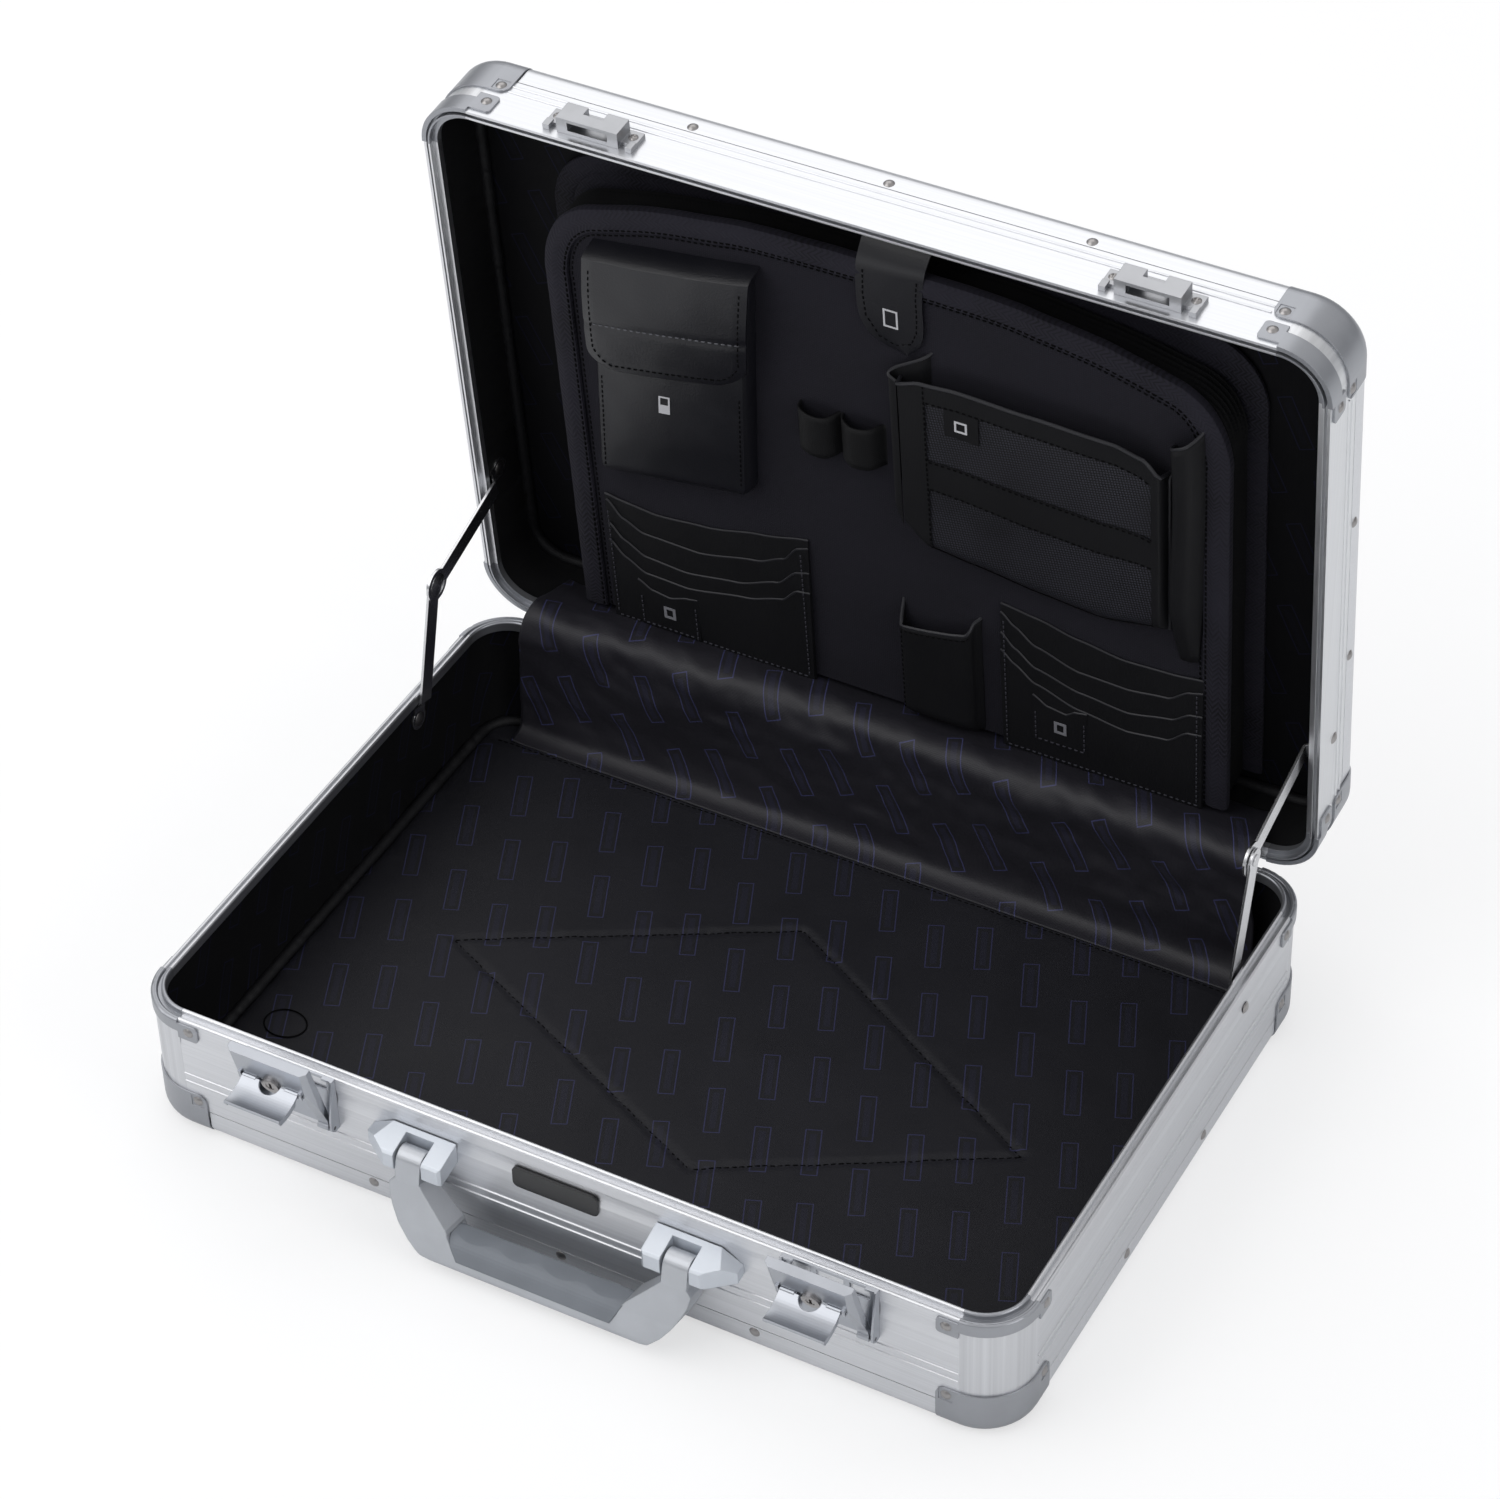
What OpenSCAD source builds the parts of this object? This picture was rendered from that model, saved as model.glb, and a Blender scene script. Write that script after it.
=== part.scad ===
// Aluminium laptop case: extruded walls, hinged lid on two folding stays, two hook latches,
// swinging handle and a fabric organiser in the lid. Millimetres, +Z up, +Y towards the hinge.
// The base stands on z = 0, centred on the origin. The lid is built closed and then swung open.

/* [Case] */
// Width of the case from side to side
case_w = 460; // [430:5:520]
// Depth of the case from front to hinge side
case_d = 325; // [310:5:380]
// Height of the base, from its bottom to the joint with the lid
base_h = 75; // [72:1:100]
// Height of the lid, from the joint to its top
lid_h = 43; // [42:1:60]
// Radius of the upright corners, seen from above
corner_r = 26; // [24:1:30]
// Angle at which the stays hold the lid open
lid_open = 85; // [80:1:90]

/* [Walls] */
// Thickness of the wall sheet in the extrusions
wall_t = 1.8; // [1.4:0.1:2.2]
// Width of the rim, measured inwards from the outer face
rim_w = 6.4; // [6:0.1:7]
// Radius of the two rim beads
bead_r = 1.15; // [0.9:0.05:1.2]
// How much lower the outer rim bead stands than the inner one
bead_drop = 1.9; // [1.2:0.1:2.4]
// Height of the edging extrusion, up to its seam
edging_h = 16; // [14:1:18]
// Thickness of the edging extrusion
edging_t = 1.4; // [1:0.1:1.7]
// Radius of the rounded outer edge of the edging
edging_r = 8; // [6:0.5:9]
// Width of the flange that holds the bottom or top panel
flange_w = 14; // [12:0.5:16]
// Thickness of the bottom and top panels
panel_t = 2.6; // [2:0.1:3.5]
// Height of the fine ridges on the walls
ridge_h = 0.6; // [0.4:0.1:0.8]

/* [Corners] */
// Thickness of the upright corner bands
band_t = 1.2; // [0.8:0.1:1.6]
// Thickness of the corner clips and corner protectors
skin_t = 0.95; // [0.7:0.05:1.2]
// Length of the clip and protector ears along the walls
ear_l = 11; // [9:0.5:13]
// Height of the corner protectors
protector_h = 26; // [23:1:26]
// Height of the rim clip ears below the joint
clip_h = 13; // [12:0.5:14]
// Radius of the rivet heads
rivet_head_r = 2.7; // [2.2:0.1:3.2]
// Radius of the rivet shanks
rivet_r = 1.5; // [1.2:0.1:1.8]

/* [Hinge] */
// Gap between the ends of the hinge and the ears of the corner pieces
hinge_gap = 3; // [1:0.5:20]
// Distance of the hinge axis behind the back wall
hinge_back = 2.6; // [2.5:0.1:3.2]
// Distance of the hinge axis below the joint
hinge_drop = 3; // [2.5:0.1:3]
// Number of knuckles on the two leaves together
knuckles = 17; // [9:2:21]
// Radius of the hinge pin
hinge_pin_r = 1; // [0.8:0.1:1.2]
// Width of each hinge leaf
leaf_w = 17; // [14:0.5:17]

/* [Stays] */
// Distance of the base pivot from the hinge axis, towards the front
stay_base_y = 79.5; // [76:0.5:83]
// Depth of the base pivot below the joint
stay_base_z = 17; // [16:0.5:19]
// Distance of the lid pivot from the hinge axis, towards the front
stay_lid_y = 82.5; // [80:0.5:85]
// Height of the lid pivot above the joint
stay_lid_z = 15; // [14:0.5:15]
// Length of the lower arm between its pivots
stay_lower_l = 77.5; // [75:0.5:80]
// Length of the upper arm between its pivots
stay_upper_l = 74.5; // [72:0.5:77]
// Width of the stay arms
stay_w = 9.5; // [8:0.5:11]
// Thickness of the stay strip
stay_t = 1.3; // [1:0.1:1.5]

/* [Latches] */
// Distance of the middle of each latch from the end of the case
latch_in = 89; // [85:1:92]
// Width of the latch plate over its flanges
latch_w = 48; // [47:0.2:49]
// Height of the cover pivot above the bottom of the case
latch_pivot_z = 44.6; // [43:0.2:47]
// Distance of the cover pivot from the front wall
latch_pivot_e = 4; // [3.8:0.1:4.4]
// Angle at which the left cover stands when its latch is open
latch_tilt_left = 11.5; // [10:0.5:16]
// Angle at which the right cover stands when its latch is open
latch_tilt_right = 15.5; // [10:0.5:16]
// Angle by which the finger lever lifts off the cover
lever_lift = 74; // [60:1:78]
// Width of the finger lever
lever_w = 30.3; // [28:0.1:30.6]
// Radius of the lock cylinder
lock_r = 4.7; // [4.2:0.1:5.2]

/* [Handle] */
// Distance of each handle arm from the middle of the case
handle_x = 70; // [64:1:72]
// Width of the handle arms in their brackets
arm_w = 13; // [11:0.2:14]
// Height of the handle pivots above the bottom of the case
handle_z = 51.5; // [51:0.5:54]
// Distance of the handle pivots from the front wall
handle_e = 9.4; // [9.2:0.1:10]
// Length of the handle from its pivots to its outer edge
handle_l = 49; // [46:0.5:49]
// Thickness of the handle at the grip
grip_t = 17; // [15:0.5:17.5]
// Angle at which the handle hangs away from the wall
handle_tilt = 12; // [12:1:18]
// Depth of the finger waves in the grip
finger_wave = 1.2; // [0.6:0.1:1.6]

/* [Lining] */
// Thickness of the side linings
lining_t = 1; // [0.8:0.1:1.2]
// Thickness of the floor pad
floor_t = 5; // [3:0.5:8]
// Distance of the organiser board from each side of the case
board_side = 53; // [50:1:60]
// Distance of the board's front edge from the front of the case
board_front = 31.5; // [30:0.5:45]
// Distance of the board's hinge edge from the back of the case
board_back = 12.5; // [12:0.5:20]
// Thickness of the padded organiser board
board_t = 3.6; // [3:0.2:4.5]
// Thickness of the pockets on the board
pocket_t = 2.8; // [2:0.2:3.5]
// Thickness of the phone pouch
pouch_t = 12; // [8:1:14]

/* [Hidden] */
$fn = 48;

// General clearances
touch = 0.05;      // between pieces that are riveted or pressed together
run_gap = 0.05;    // radial gap of a running pin
joint_gap = 0.4;   // between the rims of lid and base
far = 1000;        // reach of a cut that passes through everything

// Heights
case_h = base_h + lid_h;
hinge_y = case_d / 2 + hinge_back;
hinge_z = base_h - hinge_drop;
shelf_t = 2.4;
shelf_top = base_h - 3.2;
shelf_z = shelf_top - shelf_t;
tongue_t = 1;
tongue_u = -2 * bead_r - 0.4;
lid_shelf_z = base_h + 1.8;
lid_shelf_top = lid_shelf_z + 2.2;
seam_gap = 0.4;
tab_t = 1.05;
band_end = 10;
side_len = case_d - 2 * corner_r;
front_len = case_w - 2 * corner_r;
between_ears = 2 * (ear_l + seam_gap);
hinge_l = front_len - 2 * (ear_l + hinge_gap);
latch_x = case_w / 2 - latch_in;

// Rivet places
ear_rivet_l = 6;
ear_rivet_z = 21.5;
clip_rivet_z = 8;
edging_rivet_z = 12.3;
front_rivets = [-0.22 * case_w, 0, 0.22 * case_w];
side_rivets = [-0.13 * case_d, 0.13 * case_d];
rivet_h = 1.2;
rivet_l = 2.85;

// Lining and organiser
lining_u = wall_t + touch + tab_t + 0.1;
lining_in = lining_u + lining_t;
floor_z = panel_t + touch;
lining_low = floor_z + 1.3;
lid_in_z = case_h - panel_t - touch;
lid_lining_t = 2;
board_z = base_h + 11;
board_w = case_w - 2 * board_side;
board_d = case_d - board_front - board_back;
board_y = (board_front - board_back) / 2;

// Stay geometry, seen from the side: points are [y, z]
stay_pin_r = 2;
stay_elbow_r = 1.6;
stay_play = 2.9;
stay_lug_r = stay_w / 2 + 1.2;
stay_disc_r = 8.6;
stay_head_r = 4;
stay_disc_head_r = 6.4;
lug_u = lining_in + 0.1;
arm_u = rim_w + 0.95;
arm_gap = 0.4;
jog_start = 7;
jog_end = 11.4;

function turn(p, a) = [p.x * cos(a) - p.y * sin(a), p.x * sin(a) + p.y * cos(a)];
function arc(c, r, a0, a1, n)
    = [for (i = [0:n]) c + r * [cos(a0 + (a1 - a0) * i / n), sin(a0 + (a1 - a0) * i / n)]];
function apex(p, q, a, b) = let (d = norm(q - p), u = (q - p) / d, x = (a * a - b * b + d * d) / (2 * d),
    h = sqrt(a * a - x * x)) p + x * u + h * [-u.y, u.x];
function heading(v) = atan2(v.y, v.x);

hinge_at = [hinge_y, hinge_z];
stay_base = hinge_at + [-stay_base_y, hinge_drop - stay_base_z];
stay_lid_shut = hinge_at + [-stay_lid_y, hinge_drop + stay_lid_z];
stay_lid = hinge_at + turn(stay_lid_shut - hinge_at, -lid_open);
stay_elbow = apex(stay_base, stay_lid, stay_lower_l, stay_upper_l);
lower_angle = heading(stay_elbow - stay_base);
upper_angle = heading(stay_elbow - stay_lid);

// ---------- placing helpers ----------

// Swings what is built for the closed lid to where the stays hold it
module swung_open() {
    translate([0, hinge_y, hinge_z]) rotate([-lid_open, 0, 0]) translate([0, -hinge_y, -hinge_z]) children();
}

// Front wall frame: x along the wall, y up, z out of the wall
module on_front(x) {
    translate([x, -case_d / 2, 0]) rotate([90, 0, 0]) children();
}

// Extrudes a wall profile (x outwards, y up) along one side of the case
module wall_run(len, turned, dist) {
    rotate([0, 0, turned]) translate([-len / 2, dist, 0]) rotate([90, 0, 90]) linear_extrude(len) children();
}

module run_front(len) { wall_run(len, 180, case_d / 2) children(); }
module run_back(len) { wall_run(len, 0, case_d / 2) children(); }
module run_sides(len) {
    wall_run(len, 90, case_w / 2) children();
    wall_run(len, 270, case_w / 2) children();
}

// Puts children at the four corner centres, the arc from +X to +Y on each
module at_corners() {
    for (c = [[1, 1, 0], [-1, 1, 90], [-1, -1, 180], [1, -1, 270]])
        translate([c.x * (case_w / 2 - corner_r), c.y * (case_d / 2 - corner_r), 0])
            rotate([0, 0, c.z]) children();
}

// A corner piece: the profile swept round the corner and along both walls
module corner_sweep(arm) {
    rotate_extrude(angle = 90) translate([corner_r, 0]) children();
    if (arm > 0) both_arms() translate([-arm, 0, 0]) rotate([90, 0, 90]) linear_extrude(arm)
        translate([corner_r, 0])
        children();
}

module both_arms() {
    children();
    mirror([1, -1, 0]) children();
}

// Flat plate with rounded corners
module rounded(w, d, r) {
    square([w - 2 * r, d], center = true);
    square([w, d - 2 * r], center = true);
    for (x = [-1, 1], y = [-1, 1]) translate([x * (w / 2 - r), y * (d / 2 - r)]) circle(r);
}

module case_outline(inset) {
    rounded(case_w - 2 * inset, case_d - 2 * inset, corner_r - inset);
}

// ---------- profiles ----------

module span(u0, z0, u1, z1) {
    translate([u0, z0]) square([u1 - u0, z1 - z0]);
}

// Rim of the base: two beads with the groove that takes the lid's tongue
module base_rim(proud) {
    span(-rim_w, shelf_z, proud, shelf_top);
    span(-rim_w, shelf_z, -rim_w + 2 * bead_r, base_h - bead_r);
    translate([-rim_w + bead_r, base_h - bead_r]) circle(bead_r);
    span(-2 * bead_r, shelf_z, proud, base_h - bead_drop - bead_r);
    translate([-bead_r, base_h - bead_drop - bead_r]) circle(bead_r);
    if (proud > 0) translate([proud - bead_r, base_h - bead_drop - bead_r]) circle(bead_r);
}

// Rim of the lid: outer lip, groove, tongue and inner ledge
module lid_rim(proud) {
    span(-rim_w, lid_shelf_z, proud, lid_shelf_top);
    span(-1.4, base_h - bead_drop + joint_gap, proud, lid_shelf_top);
    span(tongue_u - tongue_t, shelf_top + 1, tongue_u, lid_shelf_z);
    span(-rim_w, base_h + joint_gap, tongue_u, lid_shelf_z);
}

module ridges(heights) {
    for (z = heights) translate([0, z]) circle(ridge_h, $fn = 16);
}

hollow_depth = 0.45;
hollow_half = 5;
hollow_r = (hollow_half * hollow_half + hollow_depth * hollow_depth) / (2 * hollow_depth);

module base_wall_profile() {
    difference() {
        union() {
            span(-wall_t, edging_h + seam_gap / 2, 0, shelf_top);
            span(-wall_t - touch - tab_t, band_end, -wall_t - touch, edging_h + 2);
            span(-wall_t - touch - tab_t, edging_h + seam_gap / 2, 0, edging_h + 2);
            ridges([base_h / 2, base_h / 2 - 5]);
        }
        translate([hollow_r - hollow_depth, base_h - 14]) circle(hollow_r, $fn = 180);
    }
    base_rim(0);
}

module lid_wall_profile() {
    seam = case_h - edging_h;
    span(-wall_t, lid_shelf_z, 0, seam - seam_gap / 2);
    span(-wall_t - touch - tab_t, seam - 2, -wall_t - touch, case_h - band_end);
    span(-wall_t - touch - tab_t, seam - 2, 0, seam - seam_gap / 2);
    lid_rim(0);
}

// Ridges of the lid walls, which end at the ears of the corner pieces
module lid_ridges() {
    top = min(base_h + leaf_w + 6, case_h - edging_h - 2);
    intersection() {
        ridges([top, top - 4]);
        span(-wall_t / 2, base_h, ridge_h, case_h);
    }
}

// Edging: outer skin, rounded edge and the flange under the panel
module edging_profile() {
    span(-edging_t, edging_r, 0, edging_h - seam_gap / 2);
    span(-flange_w, 0, -edging_r, edging_t);
    intersection() {
        difference() {
            translate([-edging_r, edging_r]) circle(edging_r);
            translate([-edging_r, edging_r]) circle(edging_r - edging_t);
        }
        span(-edging_r, 0, 0, edging_r);
    }
}

module lid_edging_profile() {
    translate([0, case_h]) mirror([0, 1]) edging_profile();
}

// Corner protector: stands proud of the band and rolls under the bottom
module protector_profile() {
    roll = edging_r + touch + skin_t;
    span(touch, roll, touch + skin_t, protector_h);
    span(-flange_w, 0, -edging_r, skin_t);
    intersection() {
        difference() {
            translate([-edging_r, roll]) circle(roll);
            translate([-edging_r, roll]) circle(roll - skin_t);
        }
        span(-edging_r, 0, roll, roll);
    }
}

// ---------- rivets ----------

// Dome-headed rivet, head on z = 0 and shank below it
module rivet(head, height, shank, len) {
    ball = (head * head + height * height) / (2 * height);
    intersection() {
        translate([0, 0, height - ball]) sphere(ball, $fn = 120);
        cylinder(h = height, r = head);
    }
    translate([0, 0, -len]) cylinder(h = len + 0.01, r = shank);
}

// Children face outwards from the ears of the four corners
module at_ears(z) {
    at_corners() both_arms() translate([-ear_rivet_l, corner_r + touch + skin_t, z])
        rotate([-90, 0, 0]) children();
}

// Children face outwards from the edging on the four sides
module at_edging(z) {
    for (x = front_rivets) {
        translate([x, -case_d / 2, z]) rotate([90, 0, 0]) children();
        translate([x, case_d / 2, z]) rotate([-90, 0, 0]) children();
    }
    for (y = side_rivets, s = [-1, 1]) translate([s * case_w / 2, y, z]) rotate([0, s * 90, 0]) children();
}

module base_rivet_places() {
    at_ears(ear_rivet_z) children();
    at_ears(base_h - clip_rivet_z) children();
    at_edging(edging_rivet_z) children();
}

module lid_rivet_places() {
    at_ears(case_h - ear_rivet_z) children();
    at_ears(base_h + clip_rivet_z) children();
    at_edging(case_h - edging_rivet_z) children();
}

module shank_hole() {
    translate([0, 0, -rivet_l - 1]) cylinder(h = rivet_l + 3, r = rivet_r + touch);
}

hinge_rivet_n = 9;
hinge_rivet_head = 2.2;
hinge_rivet_shank = 1.2;
leaf_t = 1.2;
leaf_seat = touch;

// Rivets along the hinge leaf, at the height of its middle
module at_leaf(z) {
    for (i = [0:hinge_rivet_n - 1])
        translate([(i - (hinge_rivet_n - 1) / 2) * hinge_l / hinge_rivet_n,
            case_d / 2 + leaf_seat + leaf_t, z])
            rotate([-90, 0, 0]) children();
}

leaf_rivet_base = hinge_z - leaf_w / 2 - 2;
leaf_rivet_lid = base_h + leaf_w / 2 + 1;

module leaf_rivet() { rivet(hinge_rivet_head, 0.8, hinge_rivet_shank, leaf_t + wall_t + 0.6); }
module leaf_hole() {
    translate([0, 0, -far / 20]) cylinder(h = far / 10, r = hinge_rivet_shank + touch);
}

// Children face outwards from the stay pivots on both side walls
module at_stay(p) {
    for (s = [-1, 1]) translate([s * case_w / 2, p.x, p.y]) rotate([0, s * 90, 0]) children();
}

module stay_rivet() {
    rivet(3.1, 1.3, stay_pin_r, lug_u + stay_t + 0.15);
    translate([0, 0, -lug_u - stay_t - 0.15]) mirror([0, 0, 1]) rivet(stay_head_r, 1.1, stay_pin_r, 0.01);
}

module stay_hole() {
    translate([0, 0, -lug_u - 2]) cylinder(h = lug_u + 4, r = stay_pin_r + touch);
}

// ---------- base shell ----------

module base_front_wall() {
    color("lightgray") difference() {
        run_front(front_len) base_wall_profile();
        base_rivet_places() shank_hole();
    }
}

module base_back_wall() {
    color("lightgray") difference() {
        run_back(front_len) base_wall_profile();
        base_rivet_places() shank_hole();
        at_leaf(leaf_rivet_base) leaf_hole();
    }
}

module base_side_walls() {
    color("lightgray") difference() {
        run_sides(side_len) base_wall_profile();
        base_rivet_places() shank_hole();
        at_stay(stay_base) stay_hole();
    }
}

module base_edging() {
    color("silver") difference() {
        union() {
            run_front(front_len - between_ears) edging_profile();
            run_back(front_len - between_ears) edging_profile();
            run_sides(side_len - between_ears) edging_profile();
        }
        at_edging(edging_rivet_z) shank_hole();
    }
}

module base_bottom_panel() {
    color("dimgray") {
        linear_extrude(panel_t) case_outline(flange_w + 0.1);
        translate([0, 0, edging_t + touch]) linear_extrude(panel_t - edging_t - touch)
            case_outline(edging_r);
    }
}

module base_corner_bands() {
    color("gainsboro") at_corners() corner_sweep(0) span(-band_t, band_end, 0, shelf_z - touch);
}

module clip_hole_cut(z) {
    at_ears(z) shank_hole();
}

// Ear of a rim clip: a plate on the wall with rounded free corners
module clip_ear(z0, z1) {
    r = 2;
    both_arms() translate([0, corner_r + touch, 0]) rotate([-90, 0, 0]) mirror([0, 1, 0])
        linear_extrude(skin_t) {
        span(-ear_l + r, z0, 0, z1);
        span(-ear_l, z0 + r, 0, z1 - r);
        for (z = [z0 + r, z1 - r]) translate([-ear_l + r, z]) circle(r);
    }
}

module base_rim_clips() {
    color("darkgray") difference() {
        at_corners() {
            corner_sweep(0) {
                base_rim(touch + skin_t);
                span(touch, base_h - clip_h + 4, touch + skin_t, shelf_top);
            }
            clip_ear(base_h - clip_h, shelf_top - 0.5);
        }
        clip_hole_cut(base_h - clip_rivet_z);
    }
}

pad_side = 7;
pad_sink = 0.35;
ear_round = 5;

// Shape of the protector ears: rounded top corner and a sunk pad for the rivet
module protector() {
    difference() {
        corner_sweep(ear_l) protector_profile();
        both_arms() {
            translate([-ear_l, corner_r - 1, protector_h - ear_round]) rotate([-90, 0, 0]) mirror([0, 1, 0])
                difference() {
                    translate([-1, 0, 0]) cube([ear_round + 1, ear_round + 1, 4]);
                    translate([ear_round, 0, -1]) cylinder(h = 6, r = ear_round);
                }
            translate([-ear_rivet_l, corner_r + touch + skin_t, ear_rivet_z])
                cube([pad_side, 2 * pad_sink, pad_side], center = true);
        }
    }
}

module base_corner_protectors() {
    color("gray") difference() {
        at_corners() protector();
        at_ears(ear_rivet_z) shank_hole();
    }
}

module base_rivets() {
    color("silver") {
        at_ears(ear_rivet_z) translate([0, 0, -pad_sink])
            rivet(rivet_head_r, rivet_h, rivet_r, rivet_l - pad_sink);
        at_ears(base_h - clip_rivet_z) rivet(rivet_head_r, rivet_h, rivet_r, rivet_l);
        at_edging(edging_rivet_z) rivet(rivet_head_r, rivet_h, rivet_r, rivet_l);
        at_leaf(leaf_rivet_base) leaf_rivet();
        at_stay(stay_base) stay_rivet();
    }
}

module base_side_lining() {
    color([0.06, 0.06, 0.07]) difference() {
        translate([0, 0, lining_low]) linear_extrude(shelf_z - touch - lining_low) difference() {
            case_outline(lining_u);
            case_outline(lining_in);
        }
        at_stay(stay_base) stay_hole();
    }
}

module base_floor_pad() {
    color([0.1, 0.1, 0.12]) translate([0, 0, floor_z]) linear_extrude(floor_t) case_outline(lining_in + 0.2);
}

plate_l = 45;
plate_h = 12.5;
plate_z = 56;

module name_plate() {
    color([0.08, 0.09, 0.12]) on_front(0) translate([0, plate_z, touch]) linear_extrude(1.1)
        rounded(plate_l, plate_h, 3);
}

// ---------- handle ----------

pivot_r = 6;
arm_play = 1;
slot_w = arm_w + 2 * arm_play;
bracket_in = 17.5;
bracket_out = 27;
bracket_e = 16;
bracket_end_e = 6;
bracket_slant = 13;
bracket_up = 9.5;
bracket_down = 2.1;
handle_pin_r = 2;

// Bracket on the +X side, seen from above: it tapers towards the end of the case
module bracket_plan() {
    polygon([[-bracket_in, 0], [-bracket_in, bracket_e - 1.5], [-bracket_in + 1.5, bracket_e],
        [bracket_slant, bracket_e], [bracket_out, bracket_end_e], [bracket_out, 0]]);
}

// Seen from the side (x up, y out of the wall): top and bottom both slope down towards the front
module bracket_side() {
    polygon([[-bracket_down, 0], [bracket_up, 0], [bracket_up - 3.7, bracket_e - 1.2],
        [bracket_up - 5, bracket_e], [-bracket_down - 1.6, bracket_e],
            [-bracket_down - 2.4, bracket_e - 1.2]]);
}

// Seen from the front: the outer end is bevelled on top
module bracket_front() {
    polygon([[-bracket_in, -far], [-bracket_in, bracket_up], [bracket_slant + 3, bracket_up],
        [bracket_out, bracket_up - 6], [bracket_out, -far]]);
}

module bracket() {
    translate([handle_x, handle_z, 0]) difference() {
        translate([0, 0, touch]) intersection() {
            translate([0, -far / 2, 0]) rotate([-90, 0, 0]) mirror([0, 1, 0]) linear_extrude(far)
                bracket_plan();
            across(-far / 2, far / 2) bracket_side();
            linear_extrude(bracket_e) bracket_front();
        }
        // slot for the arm, open at the top, in front and below
        translate([-slot_w / 2, -far / 2, handle_e - pivot_r - 0.3]) cube([slot_w, far, far]);
        translate([0, 0, handle_e]) rotate([0, 90, 0])
            cylinder(h = slot_w + 11, r = handle_pin_r + touch, center = true);
    }
}

module handle_bracket_right() { color("silver") on_front(0) bracket(); }
module handle_bracket_left() { color("silver") on_front(0) mirror([1, 0, 0]) bracket(); }

module handle_pins() {
    color("gray") on_front(0) for (s = [-1, 1])
        translate([s * handle_x, handle_z, handle_e]) rotate([0, 90, 0])
            cylinder(h = slot_w + 10.6, r = handle_pin_r, center = true);
}

// Handle frame of reference: pivots on the x axis, handle hanging along -y, z away from the wall
module handle_hung() {
    on_front(0) translate([0, handle_z, handle_e]) rotate([-handle_tilt, 0, 0]) children();
}

shoulder_y = -9.2;
shoulder = 2.6;
grip_half = 46.5;
grip_top = -handle_l + 19;
grip_low = -handle_l + 8;
core_t = 7;

// Side view of the handle: round at the pivot and swelling to the grip
module handle_side(t) {
    half = t / 2;
    edge = 6;
    polygon(concat(arc([0, 0], pivot_r, 0, 180, 16), [[-pivot_r, -10], [-half, grip_top]],
        arc([-half + edge, -handle_l + edge], edge, 180, 270, 6),
        arc([half - edge, -handle_l + edge], edge, 270, 360, 6), [[half, grip_top], [pivot_r, -10]]));
}

// One half of the frame's outer edge from knuckle to grip bar: [inwards from the arm, up from the bottom]
frame_edge = [[-shoulder, 37], [-shoulder + 1, 31], [0.8, 25], [5, 17], [10, 10], [16.4, 3.6],
    [24, 0.7], [46, 0.1]];

// Front view of the frame: narrow knuckles, then wider arms that lean in towards the grip bar
module handle_front() {
    out = handle_x + arm_w / 2;
    in = handle_x - arm_w / 2;
    edge = [for (p = frame_edge) [out - p.x, p.y - handle_l]];
    difference() {
        polygon(concat([[-out, pivot_r], [-out, shoulder_y]], [for (p = edge) [-p.x, p.y]],
            [for (i = [len(edge) - 1:-1:0]) edge[i]], [[out, shoulder_y], [out, pivot_r]]));
        polygon(concat([[-in, far], [-in, shoulder_y], [-in + shoulder, shoulder_y - 3]],
            arc([-grip_half + 4, grip_top + 5], 5, 200, 270, 4),
            arc([grip_half - 4, grip_top + 5], 5, 270, 340, 4),
            [[in - shoulder, shoulder_y - 3], [in, shoulder_y], [in, far]]));
    }
}

// Front view of the soft grip, waved for the fingers along its inner edge
module grip_front(gap) {
    n = 48;
    lift = 1.4;
    polygon(concat(
        [for (i = [0:n]) let (x = -grip_half + gap + (2 * grip_half - 2 * gap) * i / n)
            [x, grip_top + lift - gap - finger_wave * (1 - cos(x * 360 / 23)) / 2]],
        [[grip_half - 6 - gap, grip_low + gap], [-grip_half + 6 + gap, grip_low + gap]]));
}

module grip_core(gap) {
    translate([0, (grip_top + grip_low) / 2 - 1, 0])
        cube([2 * grip_half - 16 + 2 * gap, grip_top - grip_low - 4 + 2 * gap, core_t + 2 * gap],
            center = true);
}

module handle_frame() {
    color("silver") handle_hung() difference() {
        union() {
            difference() {
                intersection() {
                    translate([0, 0, -far / 4]) linear_extrude(far / 2) handle_front();
                    side_prism(grip_t);
                }
                translate([0, 0, -far / 4]) linear_extrude(far / 2) grip_front(-touch);
            }
            grip_core(0);
            for (s = [-1, 1]) translate([s * (grip_half - 6), grip_low + 1, 0])
                cube([6, 9, core_t], center = true);
        }
        rotate([0, 90, 0]) cylinder(h = far, r = handle_pin_r + run_gap, center = true);
    }
}

// The side view as a long bar across the handle
module side_prism(t) {
    rotate([0, -90, 0]) translate([0, 0, -far / 4]) linear_extrude(far / 2) handle_side(t);
}

module handle_grip() {
    color([0.45, 0.47, 0.5]) handle_hung() difference() {
        intersection() {
            translate([0, 0, -far / 4]) linear_extrude(far / 2) grip_front(0);
            side_prism_grip(grip_t + 0.6);
        }
        grip_core(touch);
        for (s = [-1, 1]) translate([s * (grip_half - 6), grip_low + 1, 0])
            cube([6 + 2 * touch, 9 + 2 * touch, core_t + 2 * touch], center = true);
    }
}

// Side view of the grip: its inner edge is fully round
module side_prism_grip(t) {
    r = 6.5;
    top = grip_top + 1.4;
    rotate([0, -90, 0]) translate([0, 0, -far / 4]) linear_extrude(far / 2)
        polygon(concat(arc([t / 2 - r, top - r], r, 0, 90, 6), arc([-t / 2 + r, top - r], r, 90, 180, 6),
            [[-t / 2, grip_low - 1], [t / 2, grip_low - 1]]));
}

// ---------- latches ----------

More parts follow.
